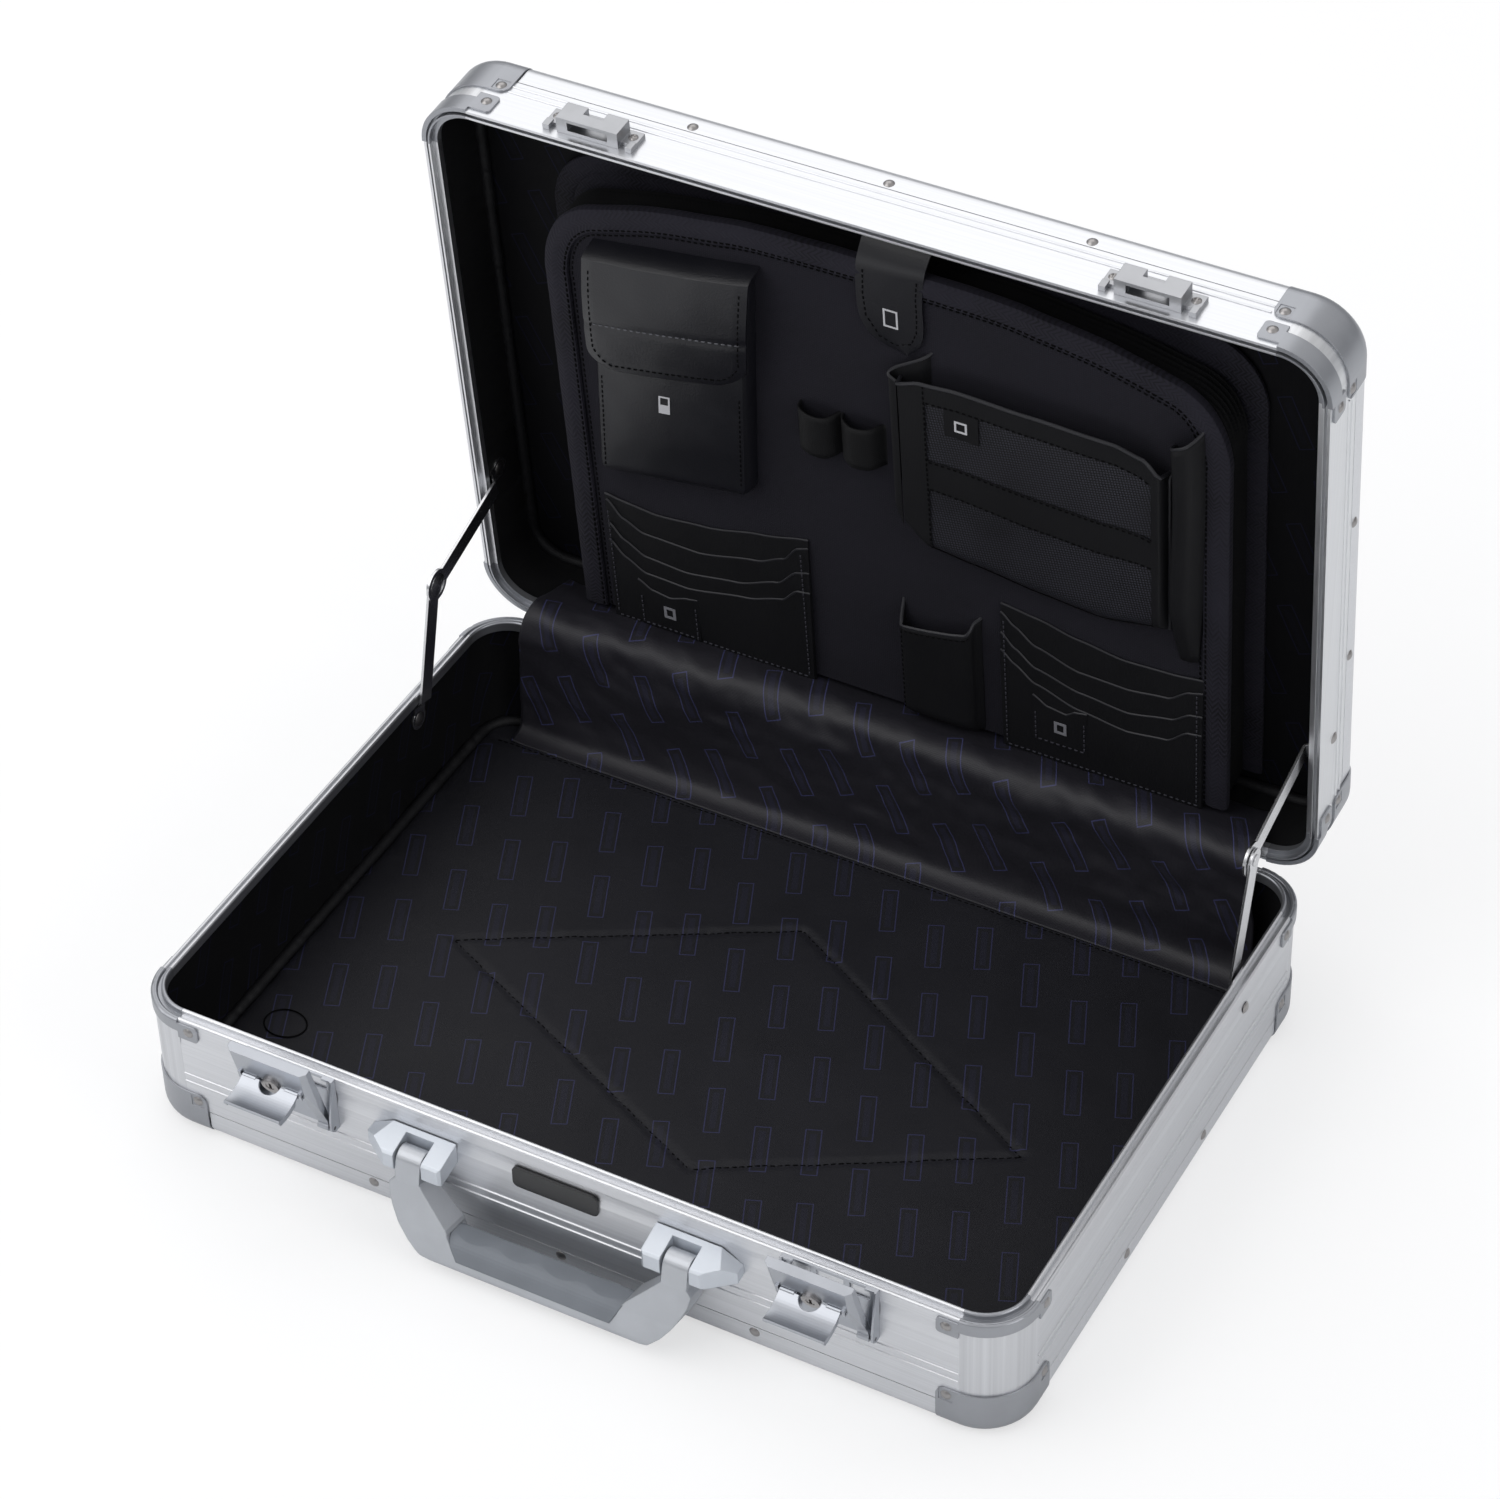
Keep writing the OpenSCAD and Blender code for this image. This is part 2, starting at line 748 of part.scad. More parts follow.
flange_t = 1.1;
plate_sheet = 1.2;
plate_low = latch_pivot_z - 2.6;
plate_top = base_h - 1.6;
flange_play = 1.5;
cover_half = latch_w / 2 - flange_t - flange_play;
cover_t = 1.1;
cover_low = latch_pivot_z - 2.2;
cover_top = base_h + 17.5;
cover_e = 10.5;
cover_rear = latch_pivot_e - 2;
cover_ear_r = 2.2;
facet_top = 2.4;
facet_low = 5.9;
facet_deep = 2.2;
hook_e = 5.4;
hook_t = 1.8;
lever_y = base_h + 0.6;
lever_e = 10.6;
lever_sheet = 1.3;
lever_curl_r = 20;
lever_curl = 42;
lever_barrel_r = 1.6;
lever_pin_r = 0.8;
lever_gap = 0.4;
pivot_pin_r = 1;
pivot_pin_l = 3.9;
lock_deep = 9.1;
lock_front = 11.7;
lock_room = 0.9;
boss_t = 1.3;
boss_e = 9.15;
boss_low = 0.4;

module at_latches() {
    for (s = [-1, 1]) on_front(s * latch_x) children();
}

// Plate behind the cover: windows along the top and a flange down each side
module latch_plate() {
    h = plate_top - plate_low;
    difference() {
        union() {
            translate([-latch_w / 2, plate_low, touch]) cube([latch_w, h, plate_sheet]);
            for (s = [-1, 1]) translate([s * (latch_w - flange_t) / 2 - flange_t / 2, 0, 0])
                rotate([0, 90, 0]) rotate([0, 0, 90]) linear_extrude(flange_t)
                    polygon([[plate_low, touch], [plate_low, 4], [plate_low + 2.5, 6.6],
                        [plate_low + 8, 6.6],
                        [plate_top, 3.2], [plate_top, touch]]);
            for (s = [-1, 1]) translate([s * (latch_w / 2 - 3) - 3, plate_top - 1.2, touch])
                cube([6, 1.2, 2.6]);
        }
        for (s = [-1, 1]) translate([s * 14.8 - 5, plate_top - 8, -1]) cube([10, 6.5, 4]);
        translate([-6.8, plate_top - 9.5, -1]) cube([13.6, 8, 4]);
        translate([0, latch_pivot_z, latch_pivot_e]) rotate([0, 90, 0])
            cylinder(h = 2 * latch_w, r = pivot_pin_r + touch, center = true);
    }
}

module latch_plate_left() { color("silver") on_front(-latch_x) latch_plate(); }
module latch_plate_right() { color("silver") on_front(latch_x) latch_plate(); }

module latch_pivot_pins() {
    color("gray") at_latches() for (s = [-1, 1])
        translate([s * (latch_w - pivot_pin_l) / 2 - pivot_pin_l / 2, latch_pivot_z, latch_pivot_e])
            rotate([0, 90, 0]) cylinder(h = pivot_pin_l, r = pivot_pin_r);
}

// Places what belongs to the shut cover at its open angle
module cover_tilted(x) {
    on_front(x) translate([0, latch_pivot_z, latch_pivot_e])
        rotate([x < 0 ? latch_tilt_left : latch_tilt_right, 0, 0])
        translate([0, -latch_pivot_z, -latch_pivot_e]) children();
}

// Side view of the cover, x up and y out of the wall: hook on top, panel, and legs that slope back
module cover_side() {
    polygon([[cover_top, hook_e], [cover_top, cover_e], [lever_y + 1.4, cover_e - 0.2],
        [latch_pivot_z + 6.2, latch_pivot_e + 0.8], [latch_pivot_z, latch_pivot_e + 0.8],
        [latch_pivot_z, cover_rear]]);
    translate([latch_pivot_z, latch_pivot_e]) circle(cover_ear_r);
}

// Extrudes a side view (x up, y out of the wall) between two places along the wall
module across(x0, x1) {
    translate([x0, 0, 0]) rotate([0, 90, 0]) rotate([0, 0, 90]) linear_extrude(x1 - x0) children();
}

// Cover as a solid block: the front panel narrows downwards between two facets
module cover_block(inset) {
    half = cover_half - inset;
    intersection() {
        across(-half, half) offset(delta = -inset) cover_side();
        hull() {
            translate([0, 0, cover_e - inset - 0.02]) linear_extrude(0.02) polygon([
                [-half + facet_top, cover_top], [half - facet_top, cover_top],
                [half - facet_low, lever_y + 2], [half - facet_low, cover_low],
                [-half + facet_low, cover_low], [-half + facet_low, lever_y + 2]]);
            across(-half, half)
                polygon([[cover_top, cover_e - facet_deep - inset], [cover_top, 0], [cover_low, 0],
                [cover_low, latch_pivot_e + cover_ear_r - inset]]);
        }
    }
}

module latch_cover() {
    difference() {
        union() {
            difference() {
                cover_block(0);
                difference() {
                    cover_block(cover_t);
                    // the hook on top stays thick
                    translate([-far / 2, cover_top - hook_t, 0]) cube([far, far, far]);
                }
                // open towards the wall
                across(-cover_half + cover_t, cover_half - cover_t) polygon([[cover_low - 1, -1],
                    [cover_low - 1, cover_rear + cover_t + 0.1],
                        [cover_top - hook_t, hook_e + cover_t + 0.1],
                    [cover_top - hook_t, -1]]);
                // everything between the legs, below the front panel
                translate([-lever_w / 2 - lever_gap, cover_low - 1, -1])
                    cube([lever_w + 2 * lever_gap, lever_y + 2 - cover_low + 1, 20]);
            }
            // housing of the lock
            difference() {
                translate([0, lever_y, boss_e])
                    cylinder(h = cover_e - cover_t + 0.2 - boss_e, r = lock_r + boss_t);
                translate([-far / 2, lever_y - far, -1]) cube([far, far + boss_low, 20]);
            }
            // ears for the lever pins
            for (s = [-1, 1]) translate([s * (lever_w / 2 + lever_gap + 0.8) - 0.8, lever_y - 2, boss_e])
                cube([1.6, 5, 2.5]);
        }
        translate([0, lever_y, -1]) cylinder(h = 20, r = lock_r + touch);
        translate([0, lever_y, lever_e]) rotate([0, 90, 0])
            cylinder(h = 2 * (lever_w / 2 + lever_gap + 1.7), r = lever_pin_r + 0.03, center = true);
        translate([0, latch_pivot_z, latch_pivot_e]) rotate([0, 90, 0])
            cylinder(h = 2 * latch_w, r = pivot_pin_r + run_gap, center = true);
    }
}

module latch_cover_left() { color("lightsteelblue") cover_tilted(-latch_x) latch_cover(); }
module latch_cover_right() { color("lightsteelblue") cover_tilted(latch_x) latch_cover(); }

// Finger lever: a sheet that curls away from the cover, with side webs and two barrels
module latch_lever() {
    c = [lever_y - 3.4, lever_e + lever_curl_r];
    module strip(deep) {
        polygon(concat([[lever_y, lever_e], [lever_y, lever_e + lever_sheet]],
            [for (i = [0:10]) c + (lever_curl_r - lever_sheet)
                * [-sin(lever_curl * i / 10), -cos(lever_curl * i / 10)]],
            [for (i = [10:-1:0]) c + (lever_curl_r + (i > 0 && i < 10 ? deep : 0)) *
                [-sin(lever_curl * i / 10), -cos(lever_curl * i / 10)]]));
    }
    difference() {
        union() {
            across(-lever_w / 2, lever_w / 2) strip(0);
            for (s = [-1, 1]) across(s * (lever_w / 2 - 0.6) - 0.6, s * (lever_w / 2 - 0.6) + 0.6)
                strip(1.8);
            for (s = [-1, 1]) translate([s * (lever_w / 2 - 3.6), lever_y, lever_e]) rotate([0, 90, 0])
                cylinder(h = 7.2, r = lever_barrel_r, center = true);
        }
        translate([0, lever_y, -1]) cylinder(h = 30, r = lock_r + lock_room);
        for (s = [-1, 1]) translate([s * (lever_w / 2 - 3.6), lever_y, lever_e]) rotate([0, 90, 0])
            cylinder(h = 7.4, r = lever_pin_r + run_gap, center = true);
    }
}

module lever_lifted(x) {
    cover_tilted(x) translate([0, lever_y, lever_e]) rotate([-lever_lift, 0, 0])
        translate([0, -lever_y, -lever_e]) children();
}

module latch_lever_left() { color("white") lever_lifted(-latch_x) latch_lever(); }
module latch_lever_right() { color("white") lever_lifted(latch_x) latch_lever(); }

module lever_pins(x) {
    l = 8;
    cover_tilted(x) for (s = [-1, 1])
        translate([s * (lever_w / 2 + lever_gap + 1.5 - l / 2), lever_y, lever_e]) rotate([0, 90, 0])
            cylinder(h = l, r = lever_pin_r, center = true);
}

module lever_pins_left() { color("gray") lever_pins(-latch_x); }
module lever_pins_right() { color("gray") lever_pins(latch_x); }

// Lock cylinder with a keyway, turned by the key in the cover
module lock_cylinder(x) {
    cover_tilted(x) translate([0, lever_y, 0]) difference() {
        translate([0, 0, lock_deep]) cylinder(h = lock_front - lock_deep, r = lock_r);
        translate([-0.7, -2.2, lock_front - 1.6]) cube([1.4, 4.4, 5]);
        translate([0, 0, lock_front - 0.3]) cylinder(h = 1, r = 2.4);
    }
}

module lock_cylinder_left() { color("gainsboro") lock_cylinder(-latch_x); }
module lock_cylinder_right() { color("gainsboro") lock_cylinder(latch_x); }

// Striker on the lid: housing with a slot towards the rim, a notch on top and two screwed ears
striker_half = 16.2;
striker_low = base_h + 2.6;
striker_top = cover_top - hook_t - 1.4;
striker_e = 8.6;
ear_half = 23.5;
ear_e = 2.2;
ear_lip = 0.7;
screw_x = 19.9;
screw_z = striker_low + 8;
screw_r = 1.4;

module striker() {
    difference() {
        union() {
            difference() {
                translate([-striker_half, striker_low, touch])
                    cube([2 * striker_half, striker_top - striker_low, striker_e]);
                translate([0, striker_top - 2, striker_e + touch]) rotate([45, 0, 0])
                    translate([-far / 2, 0, 0])
                    cube([far, 9, 9]);
            }
            translate([-ear_half, striker_low + 3, touch]) cube([2 * ear_half, 9.5, ear_e]);
            for (s = [-1, 1]) translate([s * (ear_half - 1.7) - 1.7, striker_low - 0.6, touch])
                cube([3.4, 5, ear_e + ear_lip]);
        }
        translate([-10.5, striker_low - 1, 2.2]) cube([21, 9, 4.6]);
        translate([-5.2, striker_top - 5, 5]) cube([10.4, 9, 9]);
        for (s = [-1, 1]) translate([s * screw_x, screw_z, -1]) cylinder(h = 9, r = screw_r + touch);
    }
}

module strikers() {
    color("silver") swung_open() at_latches() striker();
}

module striker_screws() {
    color("gray") swung_open() at_latches() for (s = [-1, 1]) translate([s * screw_x, screw_z, 0])
        difference() {
        union() {
            translate([0, 0, ear_e + touch]) intersection() {
                translate([0, 0, -2.6]) sphere(3.6, $fn = 120);
                cylinder(h = 3, r = 2.4);
            }
            translate([0, 0, -wall_t - 0.6]) cylinder(h = ear_e + wall_t + 0.7, r = screw_r);
        }
        translate([-0.35, -2, ear_e + 0.6]) cube([0.7, 4, 2]);
        translate([-2, -0.35, ear_e + 0.6]) cube([4, 0.7, 2]);
    }
}

// ---------- hinge ----------

knuckle_r = hinge_back - 0.1;
knuckle_l = hinge_l / knuckles;
knuckle_gap = 0.3;

// One leaf of the continuous hinge: first = 0 or 1 picks alternate knuckles, down = -1 or 1
module hinge_leaf(first, down) {
    y0 = case_d / 2 + leaf_seat;
    far_z = hinge_z + (down < 0 ? -leaf_w : leaf_w + hinge_drop);
    near_z = down < 0 ? hinge_z - 1 : base_h + 0.6;
    difference() {
        union() {
            translate([-hinge_l / 2, y0, min(far_z, near_z)]) cube([hinge_l, leaf_t, abs(far_z - near_z)]);
            for (i = [first:2:knuckles - 1]) {
                x0 = -hinge_l / 2 + i * knuckle_l + knuckle_gap / 2;
                translate([x0, hinge_y, hinge_z]) rotate([0, 90, 0])
                    cylinder(h = knuckle_l - knuckle_gap, r = knuckle_r);
                translate([x0, y0, min(hinge_z, near_z)])
                    cube([knuckle_l - knuckle_gap, leaf_t, abs(near_z - hinge_z)]);
            }
        }
        // the other leaf's knuckles turn in gaps between these
        for (i = [1 - first:2:knuckles - 1])
            translate([-hinge_l / 2 + i * knuckle_l - knuckle_gap / 2, hinge_y, hinge_z]) rotate([0, 90, 0])
                cylinder(h = knuckle_l + knuckle_gap, r = knuckle_r + 0.3);
        translate([0, hinge_y, hinge_z]) rotate([0, 90, 0])
            cylinder(h = far, r = hinge_pin_r + run_gap, center = true);
        at_leaf(down < 0 ? leaf_rivet_base : leaf_rivet_lid) leaf_hole();
    }
}

module hinge_leaf_base() { color("silver") hinge_leaf(0, -1); }
module hinge_leaf_lid() { color("silver") swung_open() hinge_leaf(1, 1); }

module hinge_pin() {
    color("gray") translate([0, hinge_y, hinge_z]) rotate([0, 90, 0])
        cylinder(h = hinge_l, r = hinge_pin_r, center = true);
}

// Fabric curtain that covers the hinge from inside
curtain_w = front_len - 8;
curtain_t = 1.5;

module hinge_curtain() {
    wall = case_d / 2 - lining_in - touch;
    rim = case_d / 2 - rim_w - 0.6;
    t = curtain_t;
    color([0.08, 0.08, 0.09]) translate([-curtain_w / 2, 0, 0]) rotate([90, 0, 90]) linear_extrude(curtain_w)
        polygon([[wall, base_h - 28], [wall, base_h - 8.5], [rim, base_h - 5], [rim, base_h + 1.5],
            [rim + 4, base_h + 6.5], [rim + 13, base_h + 8.4], [rim + 20, base_h + 7.6],
                [rim + 34, base_h + 6.4],
            [rim + 34, base_h + 6.4 + t], [rim + 20, base_h + 7.6 + t], [rim + 13, base_h + 8.4 + t],
            [rim + 3.2, base_h + 6.5 + t], [rim - t, base_h + 2.4], [rim - t, base_h - 5.6],
            [wall - t, base_h - 9.2], [wall - t, base_h - 28]]);
}

// ---------- stays ----------

// A stay arm along +Y from its wall pivot: riveted lug, joggle past the rim, strip and elbow lug.
// x is the distance inwards from the wall's outer face.
module stay_arm(len, plane, elbow_r, hole_r) {
    difference() {
        union() {
            translate([lug_u, 0, 0]) rotate([0, 90, 0]) cylinder(h = stay_t, r = stay_lug_r);
            translate([0, 0, -stay_w / 2]) linear_extrude(stay_w)
                polygon([[lug_u, 0], [lug_u, jog_start], [plane, jog_end], [plane, len],
                    [plane + stay_t, len],
                    [plane + stay_t, jog_end], [lug_u + stay_t, jog_start], [lug_u + stay_t, 0]]);
            translate([plane, len, 0]) rotate([0, 90, 0]) cylinder(h = stay_t, r = elbow_r);
        }
        translate([0, 0, 0]) rotate([0, 90, 0]) cylinder(h = lug_u + stay_t + 1, r = stay_pin_r + run_gap);
        translate([plane - 1, len, 0]) rotate([0, 90, 0]) cylinder(h = stay_t + 2, r = hole_r);
    }
}

// side = -1 left, 1 right; p = pivot [y, z]; a = direction of the arm from the pivot
module stay_placed(side, p, a) {
    mirror([side > 0 ? 1 : 0, 0, 0]) translate([-case_w / 2, p.x, p.y]) rotate([a, 0, 0]) children();
}

module stay_lower(side) {
    stay_placed(side, stay_base, lower_angle)
        stay_arm(stay_lower_l, arm_u, stay_lug_r, stay_elbow_r + touch);
}

module stay_upper(side) {
    stay_placed(side, stay_lid, upper_angle)
        stay_arm(stay_upper_l, arm_u + stay_t + arm_gap, stay_disc_r, stay_elbow_r + stay_play);
}

// The elbow rivet stays in the lower arm and plays in the upper arm's wide hole
module stay_elbow_rivet(side) {
    stay_placed(side, stay_elbow, 0) {
        inner = arm_u + 2 * stay_t + arm_gap + 0.1;
        translate([inner, 0, 0]) rotate([0, 90, 0])
            rivet(stay_disc_head_r, 1.4, stay_elbow_r, inner - arm_u + 0.05);
        translate([arm_u - 0.5, 0, 0]) rotate([0, 90, 0]) cylinder(h = 0.45, r = 3);
    }
}

module stay_lower_left() { color("gray") stay_lower(-1); }
module stay_lower_right() { color("gray") stay_lower(1); }
module stay_upper_left() { color("darkgray") stay_upper(-1); }
module stay_upper_right() { color("darkgray") stay_upper(1); }
module stay_elbow_rivet_left() { color("silver") stay_elbow_rivet(-1); }
module stay_elbow_rivet_right() { color("silver") stay_elbow_rivet(1); }

// ---------- lid shell ----------

module lid_front_wall() {
    color("lightgray") swung_open() difference() {
        union() {
            run_front(front_len) lid_wall_profile();
            run_front(front_len - between_ears) lid_ridges();
        }
        lid_rivet_places() shank_hole();
        at_latches() for (s = [-1, 1]) translate([s * screw_x, screw_z, -5])
            cylinder(h = 9, r = screw_r + touch);
    }
}

module lid_back_wall() {
    color("lightgray") swung_open() difference() {
        union() {
            run_back(front_len) lid_wall_profile();
            run_back(front_len - between_ears) lid_ridges();
        }
        lid_rivet_places() shank_hole();
        at_leaf(leaf_rivet_lid) leaf_hole();
    }
}

module lid_side_walls() {
    color("lightgray") swung_open() difference() {
        union() {
            run_sides(side_len) lid_wall_profile();
            run_sides(side_len - between_ears) lid_ridges();
        }
        lid_rivet_places() shank_hole();
        at_stay(stay_lid_shut) stay_hole();
    }
}

module lid_edging() {
    color("silver") swung_open() difference() {
        union() {
            run_front(front_len - between_ears) lid_edging_profile();
            run_back(front_len - between_ears) lid_edging_profile();
            run_sides(side_len - between_ears) lid_edging_profile();
        }
        at_edging(case_h - edging_rivet_z) shank_hole();
    }
}

module lid_top_panel() {
    color("gainsboro") swung_open() {
        translate([0, 0, case_h - panel_t]) linear_extrude(panel_t) case_outline(flange_w + 0.1);
        translate([0, 0, case_h - panel_t]) linear_extrude(panel_t - edging_t - touch)
            case_outline(edging_r);
    }
}

module lid_corner_bands() {
    color("gainsboro") swung_open() at_corners() corner_sweep(0)
        span(-band_t, lid_shelf_top + touch, 0, case_h - band_end);
}

module lid_rim_clips() {
    color("darkgray") swung_open() difference() {
        at_corners() {
            corner_sweep(0) {
                lid_rim(touch + skin_t);
                span(touch, lid_shelf_z, touch + skin_t, base_h + clip_h - 4);
            }
            clip_ear(lid_shelf_z - 0.6, base_h + clip_h);
        }
        clip_hole_cut(base_h + clip_rivet_z);
    }
}

module lid_corner_protectors() {
    color("gray") swung_open() difference() {
        translate([0, 0, case_h]) mirror([0, 0, 1]) at_corners() protector();
        at_ears(case_h - ear_rivet_z) shank_hole();
    }
}

module lid_rivets() {
    color("silver") swung_open() {
        at_ears(case_h - ear_rivet_z) translate([0, 0, -pad_sink])
            rivet(rivet_head_r, rivet_h, rivet_r, rivet_l - pad_sink);
        at_ears(base_h + clip_rivet_z) rivet(rivet_head_r, rivet_h, rivet_r, rivet_l);
        at_edging(case_h - edging_rivet_z) rivet(rivet_head_r, rivet_h, rivet_r, rivet_l);
        at_leaf(leaf_rivet_lid) leaf_rivet();
        at_stay(stay_lid_shut) stay_rivet();
    }
}

module lid_side_lining() {
    color([0.06, 0.06, 0.07]) swung_open() difference() {
        translate([0, 0, lid_shelf_top + touch])
            linear_extrude(case_h - lining_low - lid_shelf_top - touch) difference() {
            case_outline(lining_u);
            case_outline(lining_in);
        }
        at_stay(stay_lid_shut) stay_hole();
    }
}

module lid_top_lining() {
    color([0.1, 0.1, 0.12]) swung_open() translate([0, 0, lid_in_z - lid_lining_t])
        linear_extrude(lid_lining_t)
        case_outline(lining_in + 0.2);
}

// ---------- organiser ----------

folder_gap = 0.1;
folder_out = 8;
folder_up = 9;
board_round = 58;

// Half of the board's curved front edge: [share of the half width, share of board_round]
front_curve = [[0.06, 0], [0.35, 0.02], [0.5, 0.08], [0.66, 0.16], [0.81, 0.29], [0.89, 0.38], [0.95, 0.55],
    [0.985, 0.77], [1, 1]];

// Board outline on its own middle, with the front edge at -d / 2
module board_outline(w, d) {
    front = [for (p = front_curve) [p.x * w / 2, -d / 2 + p.y * board_round]];
    polygon(concat([for (p = front) p],
        [[w / 2, d / 2 - 6], [w / 2 - 6, d / 2], [6 - w / 2, d / 2], [-w / 2, d / 2 - 6]],
        [for (i = [len(front) - 1:-1:0]) [-front[i].x, front[i].y]]));
}

// A flat padded piece on the board, from two opposite corners. The corners are in percent of the
// board: sideways from its middle to its side, and from its front edge to its hinge edge.
module pocket(u0, v0, u1, v1, r, t) {
    w = (u1 - u0) * board_w / 200;
    d = (v1 - v0) * board_d / 100;
    swung_open() translate([(u0 + u1) * board_w / 400, board_y + ((v0 + v1) / 200 - 0.5) * board_d,
        board_z - touch - t]) linear_extrude(t) rounded(w, d, r);
}

module organiser_board() {
    color([0.1, 0.1, 0.12]) swung_open() translate([0, board_y, board_z]) linear_extrude(board_t)
        board_outline(board_w, board_d);
}

// Expanding folder between the board and the lid lining, standing out beyond the board
module organiser_folder() {
    z0 = board_z + board_t + folder_gap;
    color([0.08, 0.08, 0.1]) swung_open() translate([0, board_y - (folder_up + 4) / 2, z0])
        linear_extrude(lid_in_z - lid_lining_t - folder_gap - z0)
            board_outline(board_w + 2 * folder_out, board_d + folder_up - 4);
}

module closing_strap() {
    color([0.1, 0.1, 0.12]) pocket(-2.8, -5, 15.8, 14.6, 4, pocket_t / 2);
}

module phone_pouch() {
    color([0.1, 0.1, 0.12]) pocket(-91, 15.5, -41.5, 66.5, 6, pouch_t);
}

module card_pockets() {
    color([0.1, 0.1, 0.12]) {
        pocket(-90, 68.5, -23, 99, 4, pocket_t);
        pocket(33, 67.5, 95, 99, 4, pocket_t);
    }
}

// Pocket with two mesh windows, and the slim slot pocket along its outer side
module mesh_pocket() {
    color([0.1, 0.1, 0.12]) {
        pocket(4.5, 21.4, 84, 65, 10, pocket_t);
        pocket(85, 15, 93, 66.5, 3, pocket_t);
    }
}

module narrow_pocket() {
    color([0.1, 0.1, 0.12]) pocket(3.4, 73, 25.4, 99, 3, pocket_t);
}

module pen_loops() {
    color([0.1, 0.1, 0.12]) {
        pocket(-24.3, 34.5, -10.9, 46, 3, pocket_t);
        pocket(-9.6, 34.5, 1.1, 46, 3, pocket_t);
    }
}

base_front_wall();
base_back_wall();
base_side_walls();
base_edging();
base_bottom_panel();
base_corner_bands();
base_rim_clips();
base_corner_protectors();
base_rivets();
base_side_lining();
base_floor_pad();
name_plate();
handle_bracket_left();
handle_bracket_right();
handle_pins();
handle_frame();
handle_grip();
latch_plate_left();
latch_plate_right();
latch_pivot_pins();
latch_cover_left();
latch_cover_right();
latch_lever_left();
latch_lever_right();
lever_pins_left();
lever_pins_right();
lock_cylinder_left();
lock_cylinder_right();
hinge_leaf_base();
hinge_leaf_lid();
hinge_pin();
hinge_curtain();
stay_lower_left();
stay_lower_right();
stay_upper_left();
stay_upper_right();
stay_elbow_rivet_left();
stay_elbow_rivet_right();
lid_front_wall();
lid_back_wall();
lid_side_walls();
lid_edging();
lid_top_panel();
lid_corner_bands();
lid_rim_clips();
lid_corner_protectors();
lid_rivets();
lid_side_lining();
lid_top_lining();
strikers();
striker_screws();
organiser_board();
organiser_folder();
closing_strap();
phone_pouch();
card_pockets();
mesh_pocket();
narrow_pocket();
pen_loops();
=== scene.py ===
"""Dressed model of an aluminium laptop case that stands open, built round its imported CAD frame.

Sizes are in millimetres until a mesh is finished, which turns them to metres. Everything that
belongs to the lid is laid out as if the lid were shut, and is then swung open by LID_SWING.
"""
import logging
import math
from dataclasses import dataclass, field
from enum import Enum
from typing import Callable, Iterable, Sequence

import bpy
from bpy.types import Material, Node, NodeSocket, NodeTree, Object
from mathutils import Matrix, Vector, noise


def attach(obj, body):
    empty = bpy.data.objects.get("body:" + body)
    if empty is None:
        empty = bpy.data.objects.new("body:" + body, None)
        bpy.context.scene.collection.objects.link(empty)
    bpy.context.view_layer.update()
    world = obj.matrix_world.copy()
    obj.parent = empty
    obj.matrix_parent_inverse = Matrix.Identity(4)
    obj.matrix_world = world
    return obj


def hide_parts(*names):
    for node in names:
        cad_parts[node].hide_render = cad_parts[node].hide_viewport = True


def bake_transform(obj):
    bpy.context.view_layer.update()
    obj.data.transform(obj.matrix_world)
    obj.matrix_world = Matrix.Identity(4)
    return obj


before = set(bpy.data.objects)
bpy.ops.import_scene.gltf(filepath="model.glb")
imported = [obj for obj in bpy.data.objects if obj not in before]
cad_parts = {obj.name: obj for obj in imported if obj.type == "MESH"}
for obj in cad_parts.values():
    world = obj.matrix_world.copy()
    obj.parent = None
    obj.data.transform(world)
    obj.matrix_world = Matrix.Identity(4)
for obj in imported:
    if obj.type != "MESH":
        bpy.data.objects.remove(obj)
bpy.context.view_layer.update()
log = logging.getLogger("laptop_case")

MM = 0.001
# Outer sizes of the case, and how far inside them its linings start
CASE_W, CASE_D, BASE_H = 460.0, 325.0, 75.0
CORNER_R = 26.0
LINING_IN = 4.0
# The lid turns about the hinge pin. Its parts are laid out shut and swung open by this much
HINGE = Vector((0.0, CASE_D / 2 + 2.6, BASE_H - 3.0))
LID_OPEN = 85.0
LID_SWING = (
    Matrix.Translation(HINGE)
    @ Matrix.Rotation(math.radians(-LID_OPEN), 4, "X")
    @ Matrix.Translation(-HINGE)
)
# Height of the organiser board's face in the shut lid
BOARD_Z = 86.0
# Most of a noise pattern lies between these values, so the tones are spread over them
NOISE_LOW, NOISE_HIGH = 0.3, 0.7
# Share by which the gloss varies along with the tone
GLOSS_SWING = 0.08
COAT_ROUGHNESS, SHEEN_ROUGHNESS, SHEEN_TINT = 0.12, 0.5, "9A9AA4"

Point = tuple[float, float, float]
Flat = tuple[float, float]


class Place(Enum):
    """Which half of the case a piece is laid out in, and the body it moves with."""

    BASE = "base"
    LID = "lid"


# ---------------------------------------------------------------- finishes


def linear(code: str) -> tuple[float, float, float, float]:
    """Turns an sRGB hex colour into the linear colour a shader wants.

    Args:
        code: The colour as six hex digits.

    Returns:
        Red, green, blue and alpha, linear.
    """
    parts = [int(code[i : i + 2], 16) / 255 for i in (0, 2, 4)]
    r, g, b = (c / 12.92 if c <= 0.04045 else ((c + 0.055) / 1.055) ** 2.4 for c in parts)
    return (r, g, b, 1.0)


